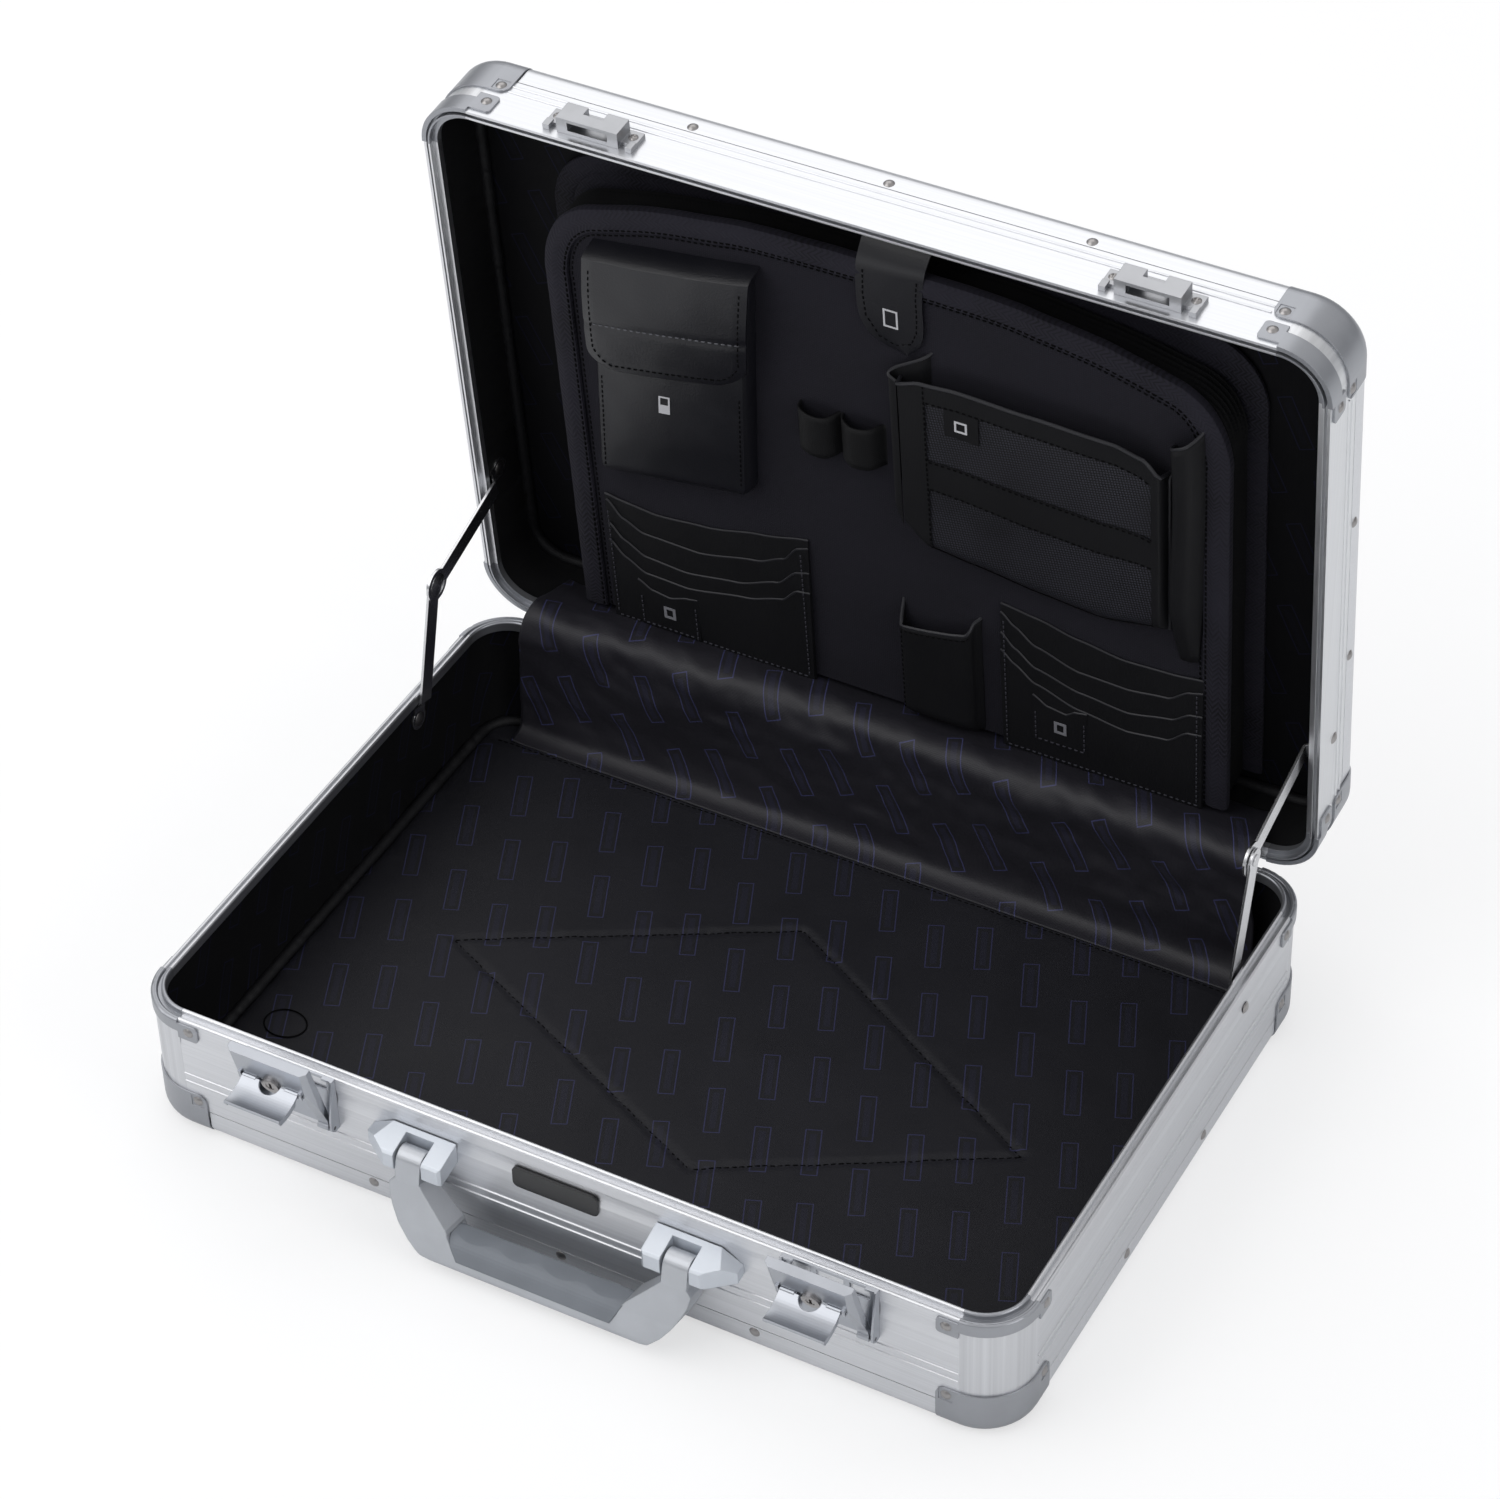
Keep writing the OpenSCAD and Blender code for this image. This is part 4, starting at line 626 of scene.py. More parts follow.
@dataclass
class Sketch:
    """Points and faces of one piece, in millimetres, with a flat layout for its pattern.

    Attributes:
        points: Its points.
        flats: Place of each point in the flat layout.
        faces: Numbers of the points of each face.
    """

    points: list[Point] = field(default_factory=list)
    flats: list[Flat] = field(default_factory=list)
    faces: list[tuple[int, ...]] = field(default_factory=list)

    def add(self, point: Point, flat: Flat = (0.0, 0.0)) -> int:
        """Adds one point with its place in the flat layout.

        Args:
            point: The point in millimetres.
            flat: Its place in the flat layout, in millimetres.

        Returns:
            The point's number.
        """
        self.points.append(tuple(point))
        self.flats.append(flat)
        return len(self.points) - 1

    def rows(self, grid: list[list[int]], round_: bool = False, flip: bool = False) -> None:
        """Joins a grid of points with faces.

        Args:
            grid: Rows of point numbers, all as long as each other.
            round_: Whether each row closes on itself.
            flip: Whether the faces look the other way.
        """
        for low, high in zip(grid, grid[1:]):
            last = len(low) if round_ else len(low) - 1
            for i in range(last):
                j = (i + 1) % len(low)
                face = (low[i], low[j], high[j], high[i])
                self.faces.append(face[::-1] if flip else face)

    def slab(self, face: list[list[tuple[Point, Flat]]], back: Callable[[Point], Point]) -> None:
        """A closed sheet: a grid, its copy pushed back, and the edge between them.

        Args:
            face: Rows of points with their flat places.
            back: Gives the point behind a point.
        """
        front = [[self.add(p, f) for p, f in row] for row in face]
        rear = [[self.add(back(p), f) for p, f in row] for row in face]
        self.rows(front)
        self.rows(rear, flip=True)
        edges = [
            grid[0] + [r[-1] for r in grid[1:]] + grid[-1][-2::-1] + [r[0] for r in grid[-2:0:-1]]
            for grid in (rear, front)
        ]
        self.rows(edges, round_=True)

    def open_sheet(self, face: list[list[tuple[Point, Flat]]]) -> list[list[int]]:
        """A sheet with no thickness yet.

        Args:
            face: Rows of points with their flat places.

        Returns:
            The grid of point numbers.
        """
        front = [[self.add(p, f) for p, f in row] for row in face]
        self.rows(front)
        return front

    def tube(self, path: Sequence[Point], radius: float, sides: int = 8, closed: bool = False) -> None:
        """A round cord along a path, with closed ends.

        Args:
            path: The points it follows.
            radius: Its radius.
            sides: Number of sides.
            closed: Whether the path is a loop.
        """
        line = [Vector(p) for p in path]
        rings: list[list[int]] = []
        run = 0.0
        for i, here in enumerate(line):
            ahead = line[(i + 1) % len(line)] if closed or i + 1 < len(line) else here
            behind = line[i - 1] if closed or i else here
            way = (ahead - behind).normalized()
            # a path that runs almost straight up has no sideways of its own
            side = way.orthogonal() if abs(way.z) > 0.95 else way.cross(Vector((0, 0, 1)))
            side.normalize()
            up = side.cross(way)
            run += (here - behind).length if i else 0.0
            rings.append(
                [
                    self.add(
                        here + radius * (side * math.cos(a) + up * math.sin(a)), (run, radius * a)
                    )
                    for a in (2 * math.pi * k / sides for k in range(sides))
                ]
            )
        self.rows(rings + [rings[0]] if closed else rings, round_=True)
        if not closed:
            self.faces.append(tuple(reversed(rings[0])))
            self.faces.append(tuple(rings[-1]))

    def stitches(self, path: Sequence[Point], rise: Vector, pitch: float, size: Point) -> None:
        """A row of sewn stitches lying along a path.

        Args:
            path: The points the seam follows.
            rise: The way the stitches stand proud.
            pitch: Distance from stitch to stitch.
            size: Length, width and height of a stitch.
        """
        corners = ((-1, -1), (1, -1), (1, 1), (-1, 1))
        half, wide, high = size[0] / 2, size[1] / 2, size[2]
        line = [Vector(p) for p in path]
        left = pitch / 2
        for a, b in zip(line, line[1:]):
            step = b - a
            length = step.length
            if length < 1e-6:
                continue
            way = step / length
            side = way.cross(rise).normalized()
            while left < length:
                # the foot is sunk a little, so that no gap shows below the stitch
                mid = a + way * left
                foot = [mid + way * (half * u) + side * (wide * v) - rise * 0.1 for u, v in corners]
                crown = [
                    mid + way * (half * 0.6 * u) + side * (wide * 0.5 * v) + rise * high
                    for u, v in corners
                ]
                low = [self.add(p) for p in foot]
                top = [self.add(p) for p in crown]
                self.rows([low, top], round_=True)
                self.faces.append(tuple(top))
                self.faces.append(tuple(reversed(low)))
                left += pitch
            left -= length

    def finish(self, name: str, place: Place | None, finish: Finish, sharp: float = 40.0) -> Object:
        """Turns the sketch into a Blender piece that rides on its half of the case.

        Args:
            name: The piece's name.
            place: Which half it is laid out in, or None for cloth laid out in both.
            finish: What it is made of.
            sharp: Edges that turn by more than this many degrees stay sharp.

        Returns:
            The new object.
        """
        swing = LID_SWING if place is Place.LID else Matrix.Identity(4)
        mesh = bpy.data.meshes.new(name)
        mesh.from_pydata([tuple((swing @ Vector(p)) * MM) for p in self.points], [], self.faces)
        layout = mesh.uv_layers.new(name="flat")
        for corner in mesh.loops:
            u, v = self.flats[corner.vertex_index]
            layout.data[corner.index].uv = (u * MM, v * MM)
        mesh.validate()
        mesh.polygons.foreach_set("use_smooth", [True] * len(mesh.polygons))
        mesh.set_sharp_from_angle(angle=math.radians(sharp))
        mesh.update()
        mesh.materials.append(finish.build())
        piece = bpy.data.objects.new(name, mesh)
        bpy.context.scene.collection.objects.link(piece)
        if place:
            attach(piece, place.value)
        log.info("%s: %d faces", name, len(mesh.polygons))
        return piece


def spread(count: int) -> list[float]:
    """Even steps from 0 to 1.

    Args:
        count: Number of steps.

    Returns:
        The values, count + 1 of them.
    """
    return [i / count for i in range(count + 1)]


def along(points: Sequence[Sequence[float]], t: float) -> tuple[float, ...]:
    """The point at a share of a line's length, smoothed between its corners.

    Args:
        points: The line's corners.
        t: The share, 0 to 1.

    Returns:
        The point.
    """
    steps = [math.dist(a, b) for a, b in zip(points, points[1:])]
    want = t * sum(steps)
    for i, step in enumerate(steps):
        if want <= step or i == len(steps) - 1:
            u = min(1.0, want / step) if step else 0.0
            p0, p1 = points[max(i - 1, 0)], points[i]
            p2, p3 = points[i + 1], points[min(i + 2, len(points) - 1)]
            return tuple(
                0.5
                * (
                    2 * b
                    + (c - a) * u
                    + (2 * a - 5 * b + 4 * c - d) * u * u
                    + (3 * b - a - 3 * c + d) * u * u * u
                )
                for a, b, c, d in zip(p0, p1, p2, p3)
            )
        want -= step
    return tuple(points[-1])


def curve_height(points: Sequence[Flat], x: float) -> float:
    """Height of a line of points at x, by smooth steps between them.

    Args:
        points: The line, with rising x.
        x: Where to read it.

    Returns:
        The height.
    """
    if x <= points[0][0]:
        return points[0][1]
    for (x0, y0), (x1, y1) in zip(points, points[1:]):
        if x <= x1:
            u = (x - x0) / (x1 - x0)
            u = u * u * (3 - 2 * u) * 0.5 + u * 0.5
            return y0 + (y1 - y0) * u
    return points[-1][1]


def ripple(x: float, y: float, z: float, size: float) -> float:
    """Smooth noise from -1 to 1.

    Args:
        x: Place in millimetres.
        y: Place in millimetres.
        z: Place in millimetres, or a seed.
        size: Size of its waves in millimetres.

    Returns:
        The value.
    """
    return noise.noise(Vector((x / size, y / size, z / size)))


def rounded(x: float, y: float, half_w: float, half_d: float, corner: float) -> Flat:
    """Draws in the corners of a square grid so that they are round.

    Args:
        x: Place in the square grid.
        y: Place in the square grid.
        half_w: Half the grid's width.
        half_d: Half the grid's depth.
        corner: Radius of its corners.

    Returns:
        The moved place.
    """
    cx, cy = abs(x) - half_w + corner, abs(y) - half_d + corner
    if cx > 0 and cy > 0:
        k = max(cx, cy) / math.hypot(cx, cy)
        x = math.copysign(half_w - corner + cx * k, x)
        y = math.copysign(half_d - corner + cy * k, y)
    return x, y


def thicken(piece: Object, thick: float, offset: float = 0.0) -> None:
    """Gives an open sheet its cloth's thickness.

    Args:
        piece: The sheet.
        thick: Its thickness in millimetres.
        offset: -1 for all of it behind the face, 0 for half on each side.
    """
    solid = piece.modifiers.new("cloth_thickness", "SOLIDIFY")
    solid.thickness, solid.offset = thick * MM, offset


def ring_point(inset: float, t: float) -> tuple[float, float, float, float]:
    """A point on the case's outline, drawn in by inset.

    Args:
        inset: Distance inside the outer face.
        t: Share of the way round, from the middle of the front, to the right.

    Returns:
        x, y and the outward direction's x and y.
    """
    r = CORNER_R - inset
    w, d = CASE_W - 2 * CORNER_R, CASE_D - 2 * CORNER_R
    quarter = math.pi * r / 2
    sides = [
        (w / 2, (0, -1), (0.0, -d / 2 - r)),
        (quarter, None, (w / 2, -d / 2)),
        (d, (1, 0), (w / 2 + r, -d / 2)),
        (quarter, None, (w / 2, d / 2)),
        (w, (0, 1), (w / 2, d / 2 + r)),
        (quarter, None, (-w / 2, d / 2)),
        (d, (-1, 0), (-w / 2 - r, d / 2)),
        (quarter, None, (-w / 2, -d / 2)),
        (w / 2, (0, -1), (-w / 2, -d / 2 - r)),
    ]
    ways = [(1, 0), None, (0, 1), None, (-1, 0), None, (0, -1), None, (1, 0)]
    starts = [0, -90, 0, 0, 0, 90, 0, 180, 0]
    want = (t % 1.0) * sum(s[0] for s in sides)
    for (length, out, start), way, begin in zip(sides, ways, starts):
        if want <= length + 1e-9:
            if out:
                return (start[0] + way[0] * want, start[1] + way[1] * want, out[0], out[1])
            a = math.radians(begin) + want / r
            return (start[0] + r * math.cos(a), start[1] + r * math.sin(a), math.cos(a), math.sin(a))
        want -= length
    return (0.0, -d / 2 - r, 0.0, -1.0)


# ---------------------------------------------------------------- linings


@dataclass
class FloorPad:
    """Padded floor of the base, quilted with one large diamond.

    Attributes:
        half_w: Half its width.
        half_d: Half its depth.
        corner: Radius of its corners.
        low: Height of its underside.
        high: Height of its face, before edge, seams and swelling.
        border: Distance of the curtain's hem from the back edge.
        diamond: Corners of the quilted diamond.
        edge_drop: How far the edge falls, and over what distance.
        seam_deep: Depth of the diamond's seam.
        hem_deep: Depth of the hem's seam.
        seam_wide: Half the width of a seam's groove.
        stitch: Length, width and height of a stitch.
        pitch: Distance from stitch to stitch.
        ring_middle: Middle of the elastic ring.
        ring_radii: Its two radii.
        ring_steps: Number of its points.
    """

    half_w: float = CASE_W / 2 - 8.0
    half_d: float = CASE_D / 2 - 8.0
    corner: float = 18.0
    low: float = 2.8
    high: float = 7.6
    border: float = 16.0
    diamond: tuple[Flat, ...] = ((-156.0, 0.0), (-5.0, 84.0), (158.0, -5.0), (23.0, -83.0))
    edge_drop: Flat = (2.0, 4.0)
    seam_deep: float = 1.5
    hem_deep: float = 0.8
    seam_wide: float = 1.5
    stitch: Point = (2.6, 0.8, 0.3)
    pitch: float = 3.6
    ring_middle: Flat = (-198.0, -89.0)
    ring_radii: Flat = (11.0, 9.0)
    ring_steps: int = 40

    def seam_distance(self, x: float, y: float) -> float:
        """Distance to the nearest seam of the diamond.

        Args:
            x: Place.
            y: Place.

        Returns:
            The distance in millimetres.
        """
        best = 1e9
        for (ax, ay), (bx, by) in zip(self.diamond, self.diamond[1:] + self.diamond[:1]):
            dx, dy = bx - ax, by - ay
            t = max(0.0, min(1.0, ((x - ax) * dx + (y - ay) * dy) / (dx * dx + dy * dy)))
            best = min(best, math.hypot(x - ax - t * dx, y - ay - t * dy))
        return best

    def height(self, x: float, y: float) -> float:
        """Height of the pad's surface.

        Args:
            x: Place.
            y: Place.

        Returns:
            The height in millimetres.
        """
        edge = min(self.half_w - abs(x), self.half_d - abs(y))
        drop, over = self.edge_drop
        fall = drop * max(0.0, 1 - edge / over) ** 2
        d = self.seam_distance(x, y)
        back = self.half_d - self.border - y
        groove = self.seam_deep * math.exp(-((d / self.seam_wide) ** 2))
        groove += self.hem_deep * math.exp(-((back / self.seam_wide) ** 2))
        swell = 0.6 * ripple(x, y, 3, 52) + 0.35 * ripple(x, y, 9, 21)
        pucker = 0.6 * ripple(x, y, 5, 7) * (math.exp(-d / 5) + 0.7 * math.exp(-abs(back) / 6))
        pucker += 0.8 * ripple(x, y, 13, 8) * math.exp(-edge / 8)
        return self.high - fall - groove + swell + pucker

    def build(self) -> None:
        """Builds the pad, the thread of its seams and the elastic ring."""
        sketch = Sketch()
        columns, lines = 230, 165
        grid = []
        for j in range(lines + 1):
            row = []
            for i in range(columns + 1):
                u, v = (2 * i / columns - 1) * self.half_w, (2 * j / lines - 1) * self.half_d
                x, y = rounded(u, v, self.half_w, self.half_d, self.corner)
                row.append(((x, y, self.height(x, y)), (x, y)))
            grid.append(row)
        sketch.slab(grid, lambda p: (p[0], p[1], self.low))
        pad = sketch.finish("floor_pad_quilted", Place.BASE, LINING)
        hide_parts("base_floor_pad")
        self.sew()

    def sew(self) -> None:
        """Sews the diamond and the curtain's hem, and lays the elastic ring by the left wall."""
        thread = Sketch()
        back = self.half_d - self.border
        hem = ((-self.half_w + 8, back), (self.half_w - 8, back))
        for corners in (self.diamond + self.diamond[:1], hem):
            for a, b in zip(corners, corners[1:]):
                path = [(a[0] + (b[0] - a[0]) * t, a[1] + (b[1] - a[1]) * t) for t in spread(120)]
                line = [(x, y, self.height(x, y) + 0.25) for x, y in path]
                thread.stitches(line, Vector((0, 0, 1)), self.pitch, self.stitch)
        thread.finish("floor_pad_thread", Place.BASE, THREAD)
        ring = Sketch()
        path = []
        for k in range(self.ring_steps):
            a = 2 * math.pi * k / self.ring_steps
            x = self.ring_middle[0] + self.ring_radii[0] * math.cos(a)
            y = self.ring_middle[1] + self.ring_radii[1] * math.sin(a)
            path.append((x, y, self.height(x, y) + 0.5))
        ring.tube(path, 0.4, 6, closed=True)
        ring.finish("floor_elastic_ring", Place.BASE, THREAD)


@dataclass
class WallLining:
    """Cloth on the inside of the walls of the base or lid, gathered over a cord at its foot.

    Attributes:
        place: Which half of the case it lines.
        start: Height of its foot.
        end: Height of its upper edge.
        welt: Height of the gathered roll.
        node_name: The CAD node that it stands for.
        name: Name of the cloth piece.
        cloth: Its finish.
        slack: How far it hangs loose.
        cord: Radius of the roll.
        cord_in: How far the roll's middle lies inside the lining.
    """

    place: Place
    start: float
    end: float
    welt: float
    node_name: str
    name: str
    cloth: Finish
    slack: float
    cord: float = 2.9
    cord_in: float = 3.0

    def build(self) -> None:
        """Builds the cloth wall and its gathered roll."""
        sketch = Sketch()
        around, up = 900, 16
        run = 2 * (CASE_W + CASE_D) - 8 * CORNER_R + 2 * math.pi * (CORNER_R - LINING_IN)
        grid = []
        for level in spread(up):
            z = self.start + (self.end - self.start) * level
            row = []
            for i in range(around):
                t = i / around
                x, y, nx, ny = ring_point(LINING_IN - 0.4, t)
                s = t * run
                near = math.exp(-abs(z - self.welt) / 8.0)
                gather = near * (0.9 + 1.0 * ripple(s, 0, 1, 5.5))
                loose = self.slack * (1 + ripple(s, z * 0.3, 4, 30))
                loose += 0.3 * self.slack * (1 + ripple(s, z, 8, 12))
                calm = 0.15 if self.is_stay(x, y) else 1.0
                lean = 0.05 + (gather * 1.7 + loose) * calm
                row.append(sketch.add((x - nx * lean, y - ny * lean, z), (s, z)))
            grid.append(row)
        sketch.rows(grid, round_=True)
        back = []
        for level in (1.0, 0.0):
            z = self.start + (self.end - self.start) * level
            row = []
            for i in range(around):
                x, y, nx, ny = ring_point(LINING_IN - 0.75, i / around)
                row.append(sketch.add((x, y, z), (i / around * run, z)))
            back.append(row)
        sketch.rows([grid[-1], back[0], back[1], grid[0]], round_=True)
        cloth = sketch.finish(self.name, self.place, self.cloth)
        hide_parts(self.node_name)
        self.roll(run)

    def roll(self, run: float) -> None:
        """Builds the gathered roll where the wall cloth meets the flat side.

        Args:
            run: Length of the wall cloth.
        """
        piping = Sketch()
        grid = []
        count, sides = 1400, 10
        inward = 1 if self.place is Place.BASE else -1
        for i in range(count):
            x, y, nx, ny = ring_point(LINING_IN + self.cord_in, i / count)
            s = i / count * run
            crimp = 0.5 * ripple(s, 2, 0, 3.2) + 0.35 * ripple(s, 9, 0, 8) + 0.4 * ripple(s, 4, 0, 26)
            ring = []
            for k in range(sides):
                a = 2 * math.pi * k / sides
                fat = self.cord + crimp * (0.7 + 0.3 * math.sin(a + 0.02 * s))
                out, rise = fat * math.cos(a), fat * math.sin(a) * inward
                ring.append(piping.add((x + nx * out, y + ny * out, self.welt + rise), (s, 3 * a)))
            grid.append(ring)
        piping.rows(grid + [grid[0]], round_=True, flip=self.place is Place.LID)
        piping.finish(self.name + "_roll", self.place, WELT_CLOTH)

    def is_stay(self, x: float, y: float) -> bool:
        """Whether a stay lies against the cloth here."""
        return abs(x) > CASE_W / 2 - 12 and 66 < y < 104


@dataclass
class LidBack:
    """Cloth on the flat inside of the lid, behind the folder.

    Attributes:
        inset: Distance of its edge inside the case's outer faces.
        hung: Height of its face in the shut lid, where it doesn't sag.
    """

    inset: float = 5.2
    hung: float = 114.0

    def build(self) -> None:
        """Builds the cloth sheet."""
        sketch = Sketch()
        half_w, half_d = CASE_W / 2 - self.inset, CASE_D / 2 - self.inset
        corner = CORNER_R - self.inset
        grid = []
        for v in spread(60):
            line = []
            for u in spread(84):
                x, y = half_w * (2 * u - 1), half_d * (2 * v - 1)
                sag = 0.9 * (1 + ripple(x * 1.6, y * 0.5, 2, 40)) + 0.3 * (1 + ripple(x, y, 5, 13))
                rx, ry = rounded(x, y, half_w, half_d, corner)
                line.append(((rx, ry, self.hung - sag), (x, -y)))
            grid.append(line)
        sketch.slab(grid, lambda p: (p[0], p[1], p[2] + 1.0))
        cloth = sketch.finish("lid_top_cloth", Place.LID, BACK_LINING_PAINTED_SHADE)
        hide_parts("lid_top_lining")


@dataclass
class HingeCurtain:
    """Cloth that hangs over the hinge inside, from the floor of the base to the lid.

    Attributes:
        half_w: Half its width.
        path: Its run from front to back as y and z, with the lid open.
    """

    half_w: float = 206.0
    path: tuple[Flat, ...] = (
        (139.5, 8.3), (146.0, 9.0), (150.6, 12.0), (152.8, 19.0), (153.6, 30.0), (153.6, 44.0),
        (152.8, 62.0), (151.6, 74.0), (154.4, 83.0), (162.0, 86.4), (171.0, 85.8), (181.0, 83.8),
        (190.0, 82.4),
    )

    def build(self) -> None:
        """Builds the folds and bends the cloth between base and lid."""
        sketch = Sketch()
        across, down = 300, 84
        run = sum(math.dist(a, b) for a, b in zip(self.path, self.path[1:]))

        def surface(s: float, t: float) -> Point:
            """Point of the cloth, before its thickness.

            Args:
                s: Share across.
                t: Share of the run, from the floor up.

            Returns:
                The point in millimetres.
            """
            y, z = along(self.path, t)
            y2, z2 = along(self.path, min(1.0, t + 0.01))
            y1, z1 = along(self.path, max(0.0, t - 0.01))
            ty, tz = y2 - y1, z2 - z1
            length = math.hypot(ty, tz) or 1.0
            ny, nz = -tz / length, ty / length
            narrow = 1.0 - 0.05 * max(0.0, (t - 0.4) / 0.6)
            x = (2 * s - 1) * self.half_w * narrow
            free = math.sin(math.pi * min(1.0, max(0.0, (t - 0.02) / 0.96)))
            drift = t * run + 0.05 * x
            fold = 2.6 * ripple(x * 0.2, drift, 2, 17) + 1.2 * ripple(x * 0.5, drift * 1.3, 5, 14)
            fold += 0.55 * ripple(x, drift, 9, 8) + 1.1 * ripple(x * 0.8 + drift, drift * 0.4, 12, 13)
            hem = 0.9 * max(0.0, 1 - min(s, 1 - s) * 60)
            lift = free * max(0.25, 2.1 + fold) + hem
            return (x, y + ny * lift, z + nz * lift)

        grid = [
            [(surface(s, t), (s * self.half_w * 2, t * run)) for s in spread(across)] for t in spread(down)
        ]
        sketch.open_sheet(grid)
        cloth = sketch.finish("hinge_curtain_cloth", None, CURTAIN_PAINTED_LIGHT, sharp=180.0)
        thicken(cloth, 0.7, -1.0)
        bpy.context.view_layer.update()
        solid = bpy.data.meshes.new_from_object(cloth.evaluated_get(bpy.context.evaluated_depsgraph_get()))
        cloth.modifiers.clear()
        cloth.data = solid
        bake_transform(cloth)
        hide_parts("hinge_curtain")


# ---------------------------------------------------------------- organiser


def on_board(x: float, y: float, proud: float) -> Point:
    """A point that stands proud of the organiser board's face, in the shut lid's layout."""
    return (x, y, BOARD_Z - proud)


@dataclass
class OrganiserBoard:
    """Padded board with bound edge that carries the pockets.

    Attributes:
        half_w: Half its width.
        top: The y of its highest point.
        bottom: The y of its foot.
        drop: How far its shoulders lie below the highest point.
        thick: Its thickness.
        tape: Width of the binding tape.
        shoulder: Its bowed top, as shares of the half width and of the drop.
        stitch: Length, width and height of a stitch of the tape.
        pitch: Distance from stitch to stitch.
    """

    half_w: float = 177.0
    top: float = -131.0
    bottom: float = 150.0
    drop: float = 58.0
    thick: float = 3.4
    tape: float = 12.0
    shoulder: tuple[Flat, ...] = (
        (0.06, 0.0), (0.35, 0.02), (0.5, 0.08), (0.66, 0.16), (0.81, 0.29), (0.89, 0.38), (0.95, 0.55),
        (0.985, 0.77), (1.0, 1.0),
    )
    stitch: Point = (2.3, 0.9, 0.4)
    pitch: float = 3.4

    def outline(self, inset: float, count: int) -> list[Flat]:
        """Points of the board's outline with its bowed top, drawn in by inset.

        Args:
            inset: Distance inside the edge.
            count: Number of points.

        Returns:
            The points, from the lower left corner up, over and down.
        """
        right = [(a * self.half_w, self.top + b * self.drop) for a, b in self.shoulder]
        low = self.top + self.drop
        line = [(self.half_w, y) for y in (self.bottom, low + 110, low + 50, low + 22, low + 8)] + right[::-1]
        line = [(-x, y) for x, y in line] + line[::-1]
        fine = [along(line, i / count) for i in range(count + 1)]
        points = []
        for i, (x, y) in enumerate(fine):
            (ax, ay), (bx, by) = fine[max(i - 3, 0)], fine[min(i + 3, count)]
            length = math.hypot(bx - ax, by - ay)
            nx, ny = -(by - ay) / length, (bx - ax) / length
            points.append((x + nx * inset, min(self.bottom, y + ny * inset)))
        return points

    def proud(self, x: float, y: float) -> float:
        """How far the board's padded face swells at a place."""
        low = min(self.half_w - abs(x), y - self.top)
        return 1.1 * (1 - math.exp(-max(0.0, low - self.tape) / 10.0)) + 0.4 * ripple(x, y, 6, 40)

    def build(self) -> None:
        """Builds the padded face, its back, the tape and the seam."""
        sketch = Sketch()
        rings = [0.0, 1.0, self.tape, self.tape + 1.5, self.tape + 4, self.tape + 9, self.tape + 16]
        count = 240
        grid = []
        for inset in rings:
            low = 0.8 if inset == 0 else 0.0
            grid.append(
                [
                    sketch.add(on_board(x, y, self.proud(x, y) - low), (x, y))
                    for x, y in self.outline(inset, count)
                ]
            )
        sketch.rows(grid)
        inner = self.outline(rings[-1], count)
        rows = []
        half = count // 2
        for share in spread(24):
            row = []
            for i in range(half + 1):
                (ax, ay), (bx, by) = inner[i], inner[count - i]
                x, y = ax + (bx - ax) * share, ay + (by - ay) * share
                row.append(sketch.add(on_board(x, y, self.proud(x, y)), (x, y)))
            rows.append(row)
        sketch.rows(rows)
        rear = [sketch.add(on_board(x, y, -self.thick), (x, y)) for x, y in self.outline(0.0, count)]
        sketch.rows([rear, grid[0]])
        sketch.faces.append(tuple(rear))
        board = sketch.finish("organiser_panel_padded", Place.LID, BOARD_CLOTH)
        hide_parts("organiser_board")
        self.bind()

    def bind(self) -> None:
        """Folds the herringbone tape over the edge and sews it down."""
        tape = Sketch()
        count = 360
        profile = [
            (-0.6, -self.thick - 0.4),
            (-1.3, -1.2), (-1.0, 1.0), (0.8, 2.2),
            (self.tape * 0.5, 2.6),
            (self.tape - 2.6, 2.0),
            (self.tape - 0.6, 1.9),
            (self.tape, 0.9),
        ]
        grid = []
        for inset, rise in profile:
            grid.append(
                [
                    tape.add(on_board(x, y, rise + 0.25 * ripple(x, y, 3, 11)), (1.9 * i, inset))
                    for i, (x, y) in enumerate(self.outline(inset, count))
                ]
            )
        tape.rows(grid)
        edging = tape.finish("organiser_binding_tape", Place.LID, BINDING)
        sewn = Sketch()
        for inset in (self.tape - 1.8, self.tape + 1.6):
            line = [
                on_board(x, y, 2.1 if inset < self.tape else self.proud(x, y))
                for x, y in self.outline(inset, count)
            ]
            sewn.stitches(line, Vector((0, 0, -1)), self.pitch, self.stitch)
        rows = sewn.finish("organiser_binding_thread", Place.LID, THREAD)


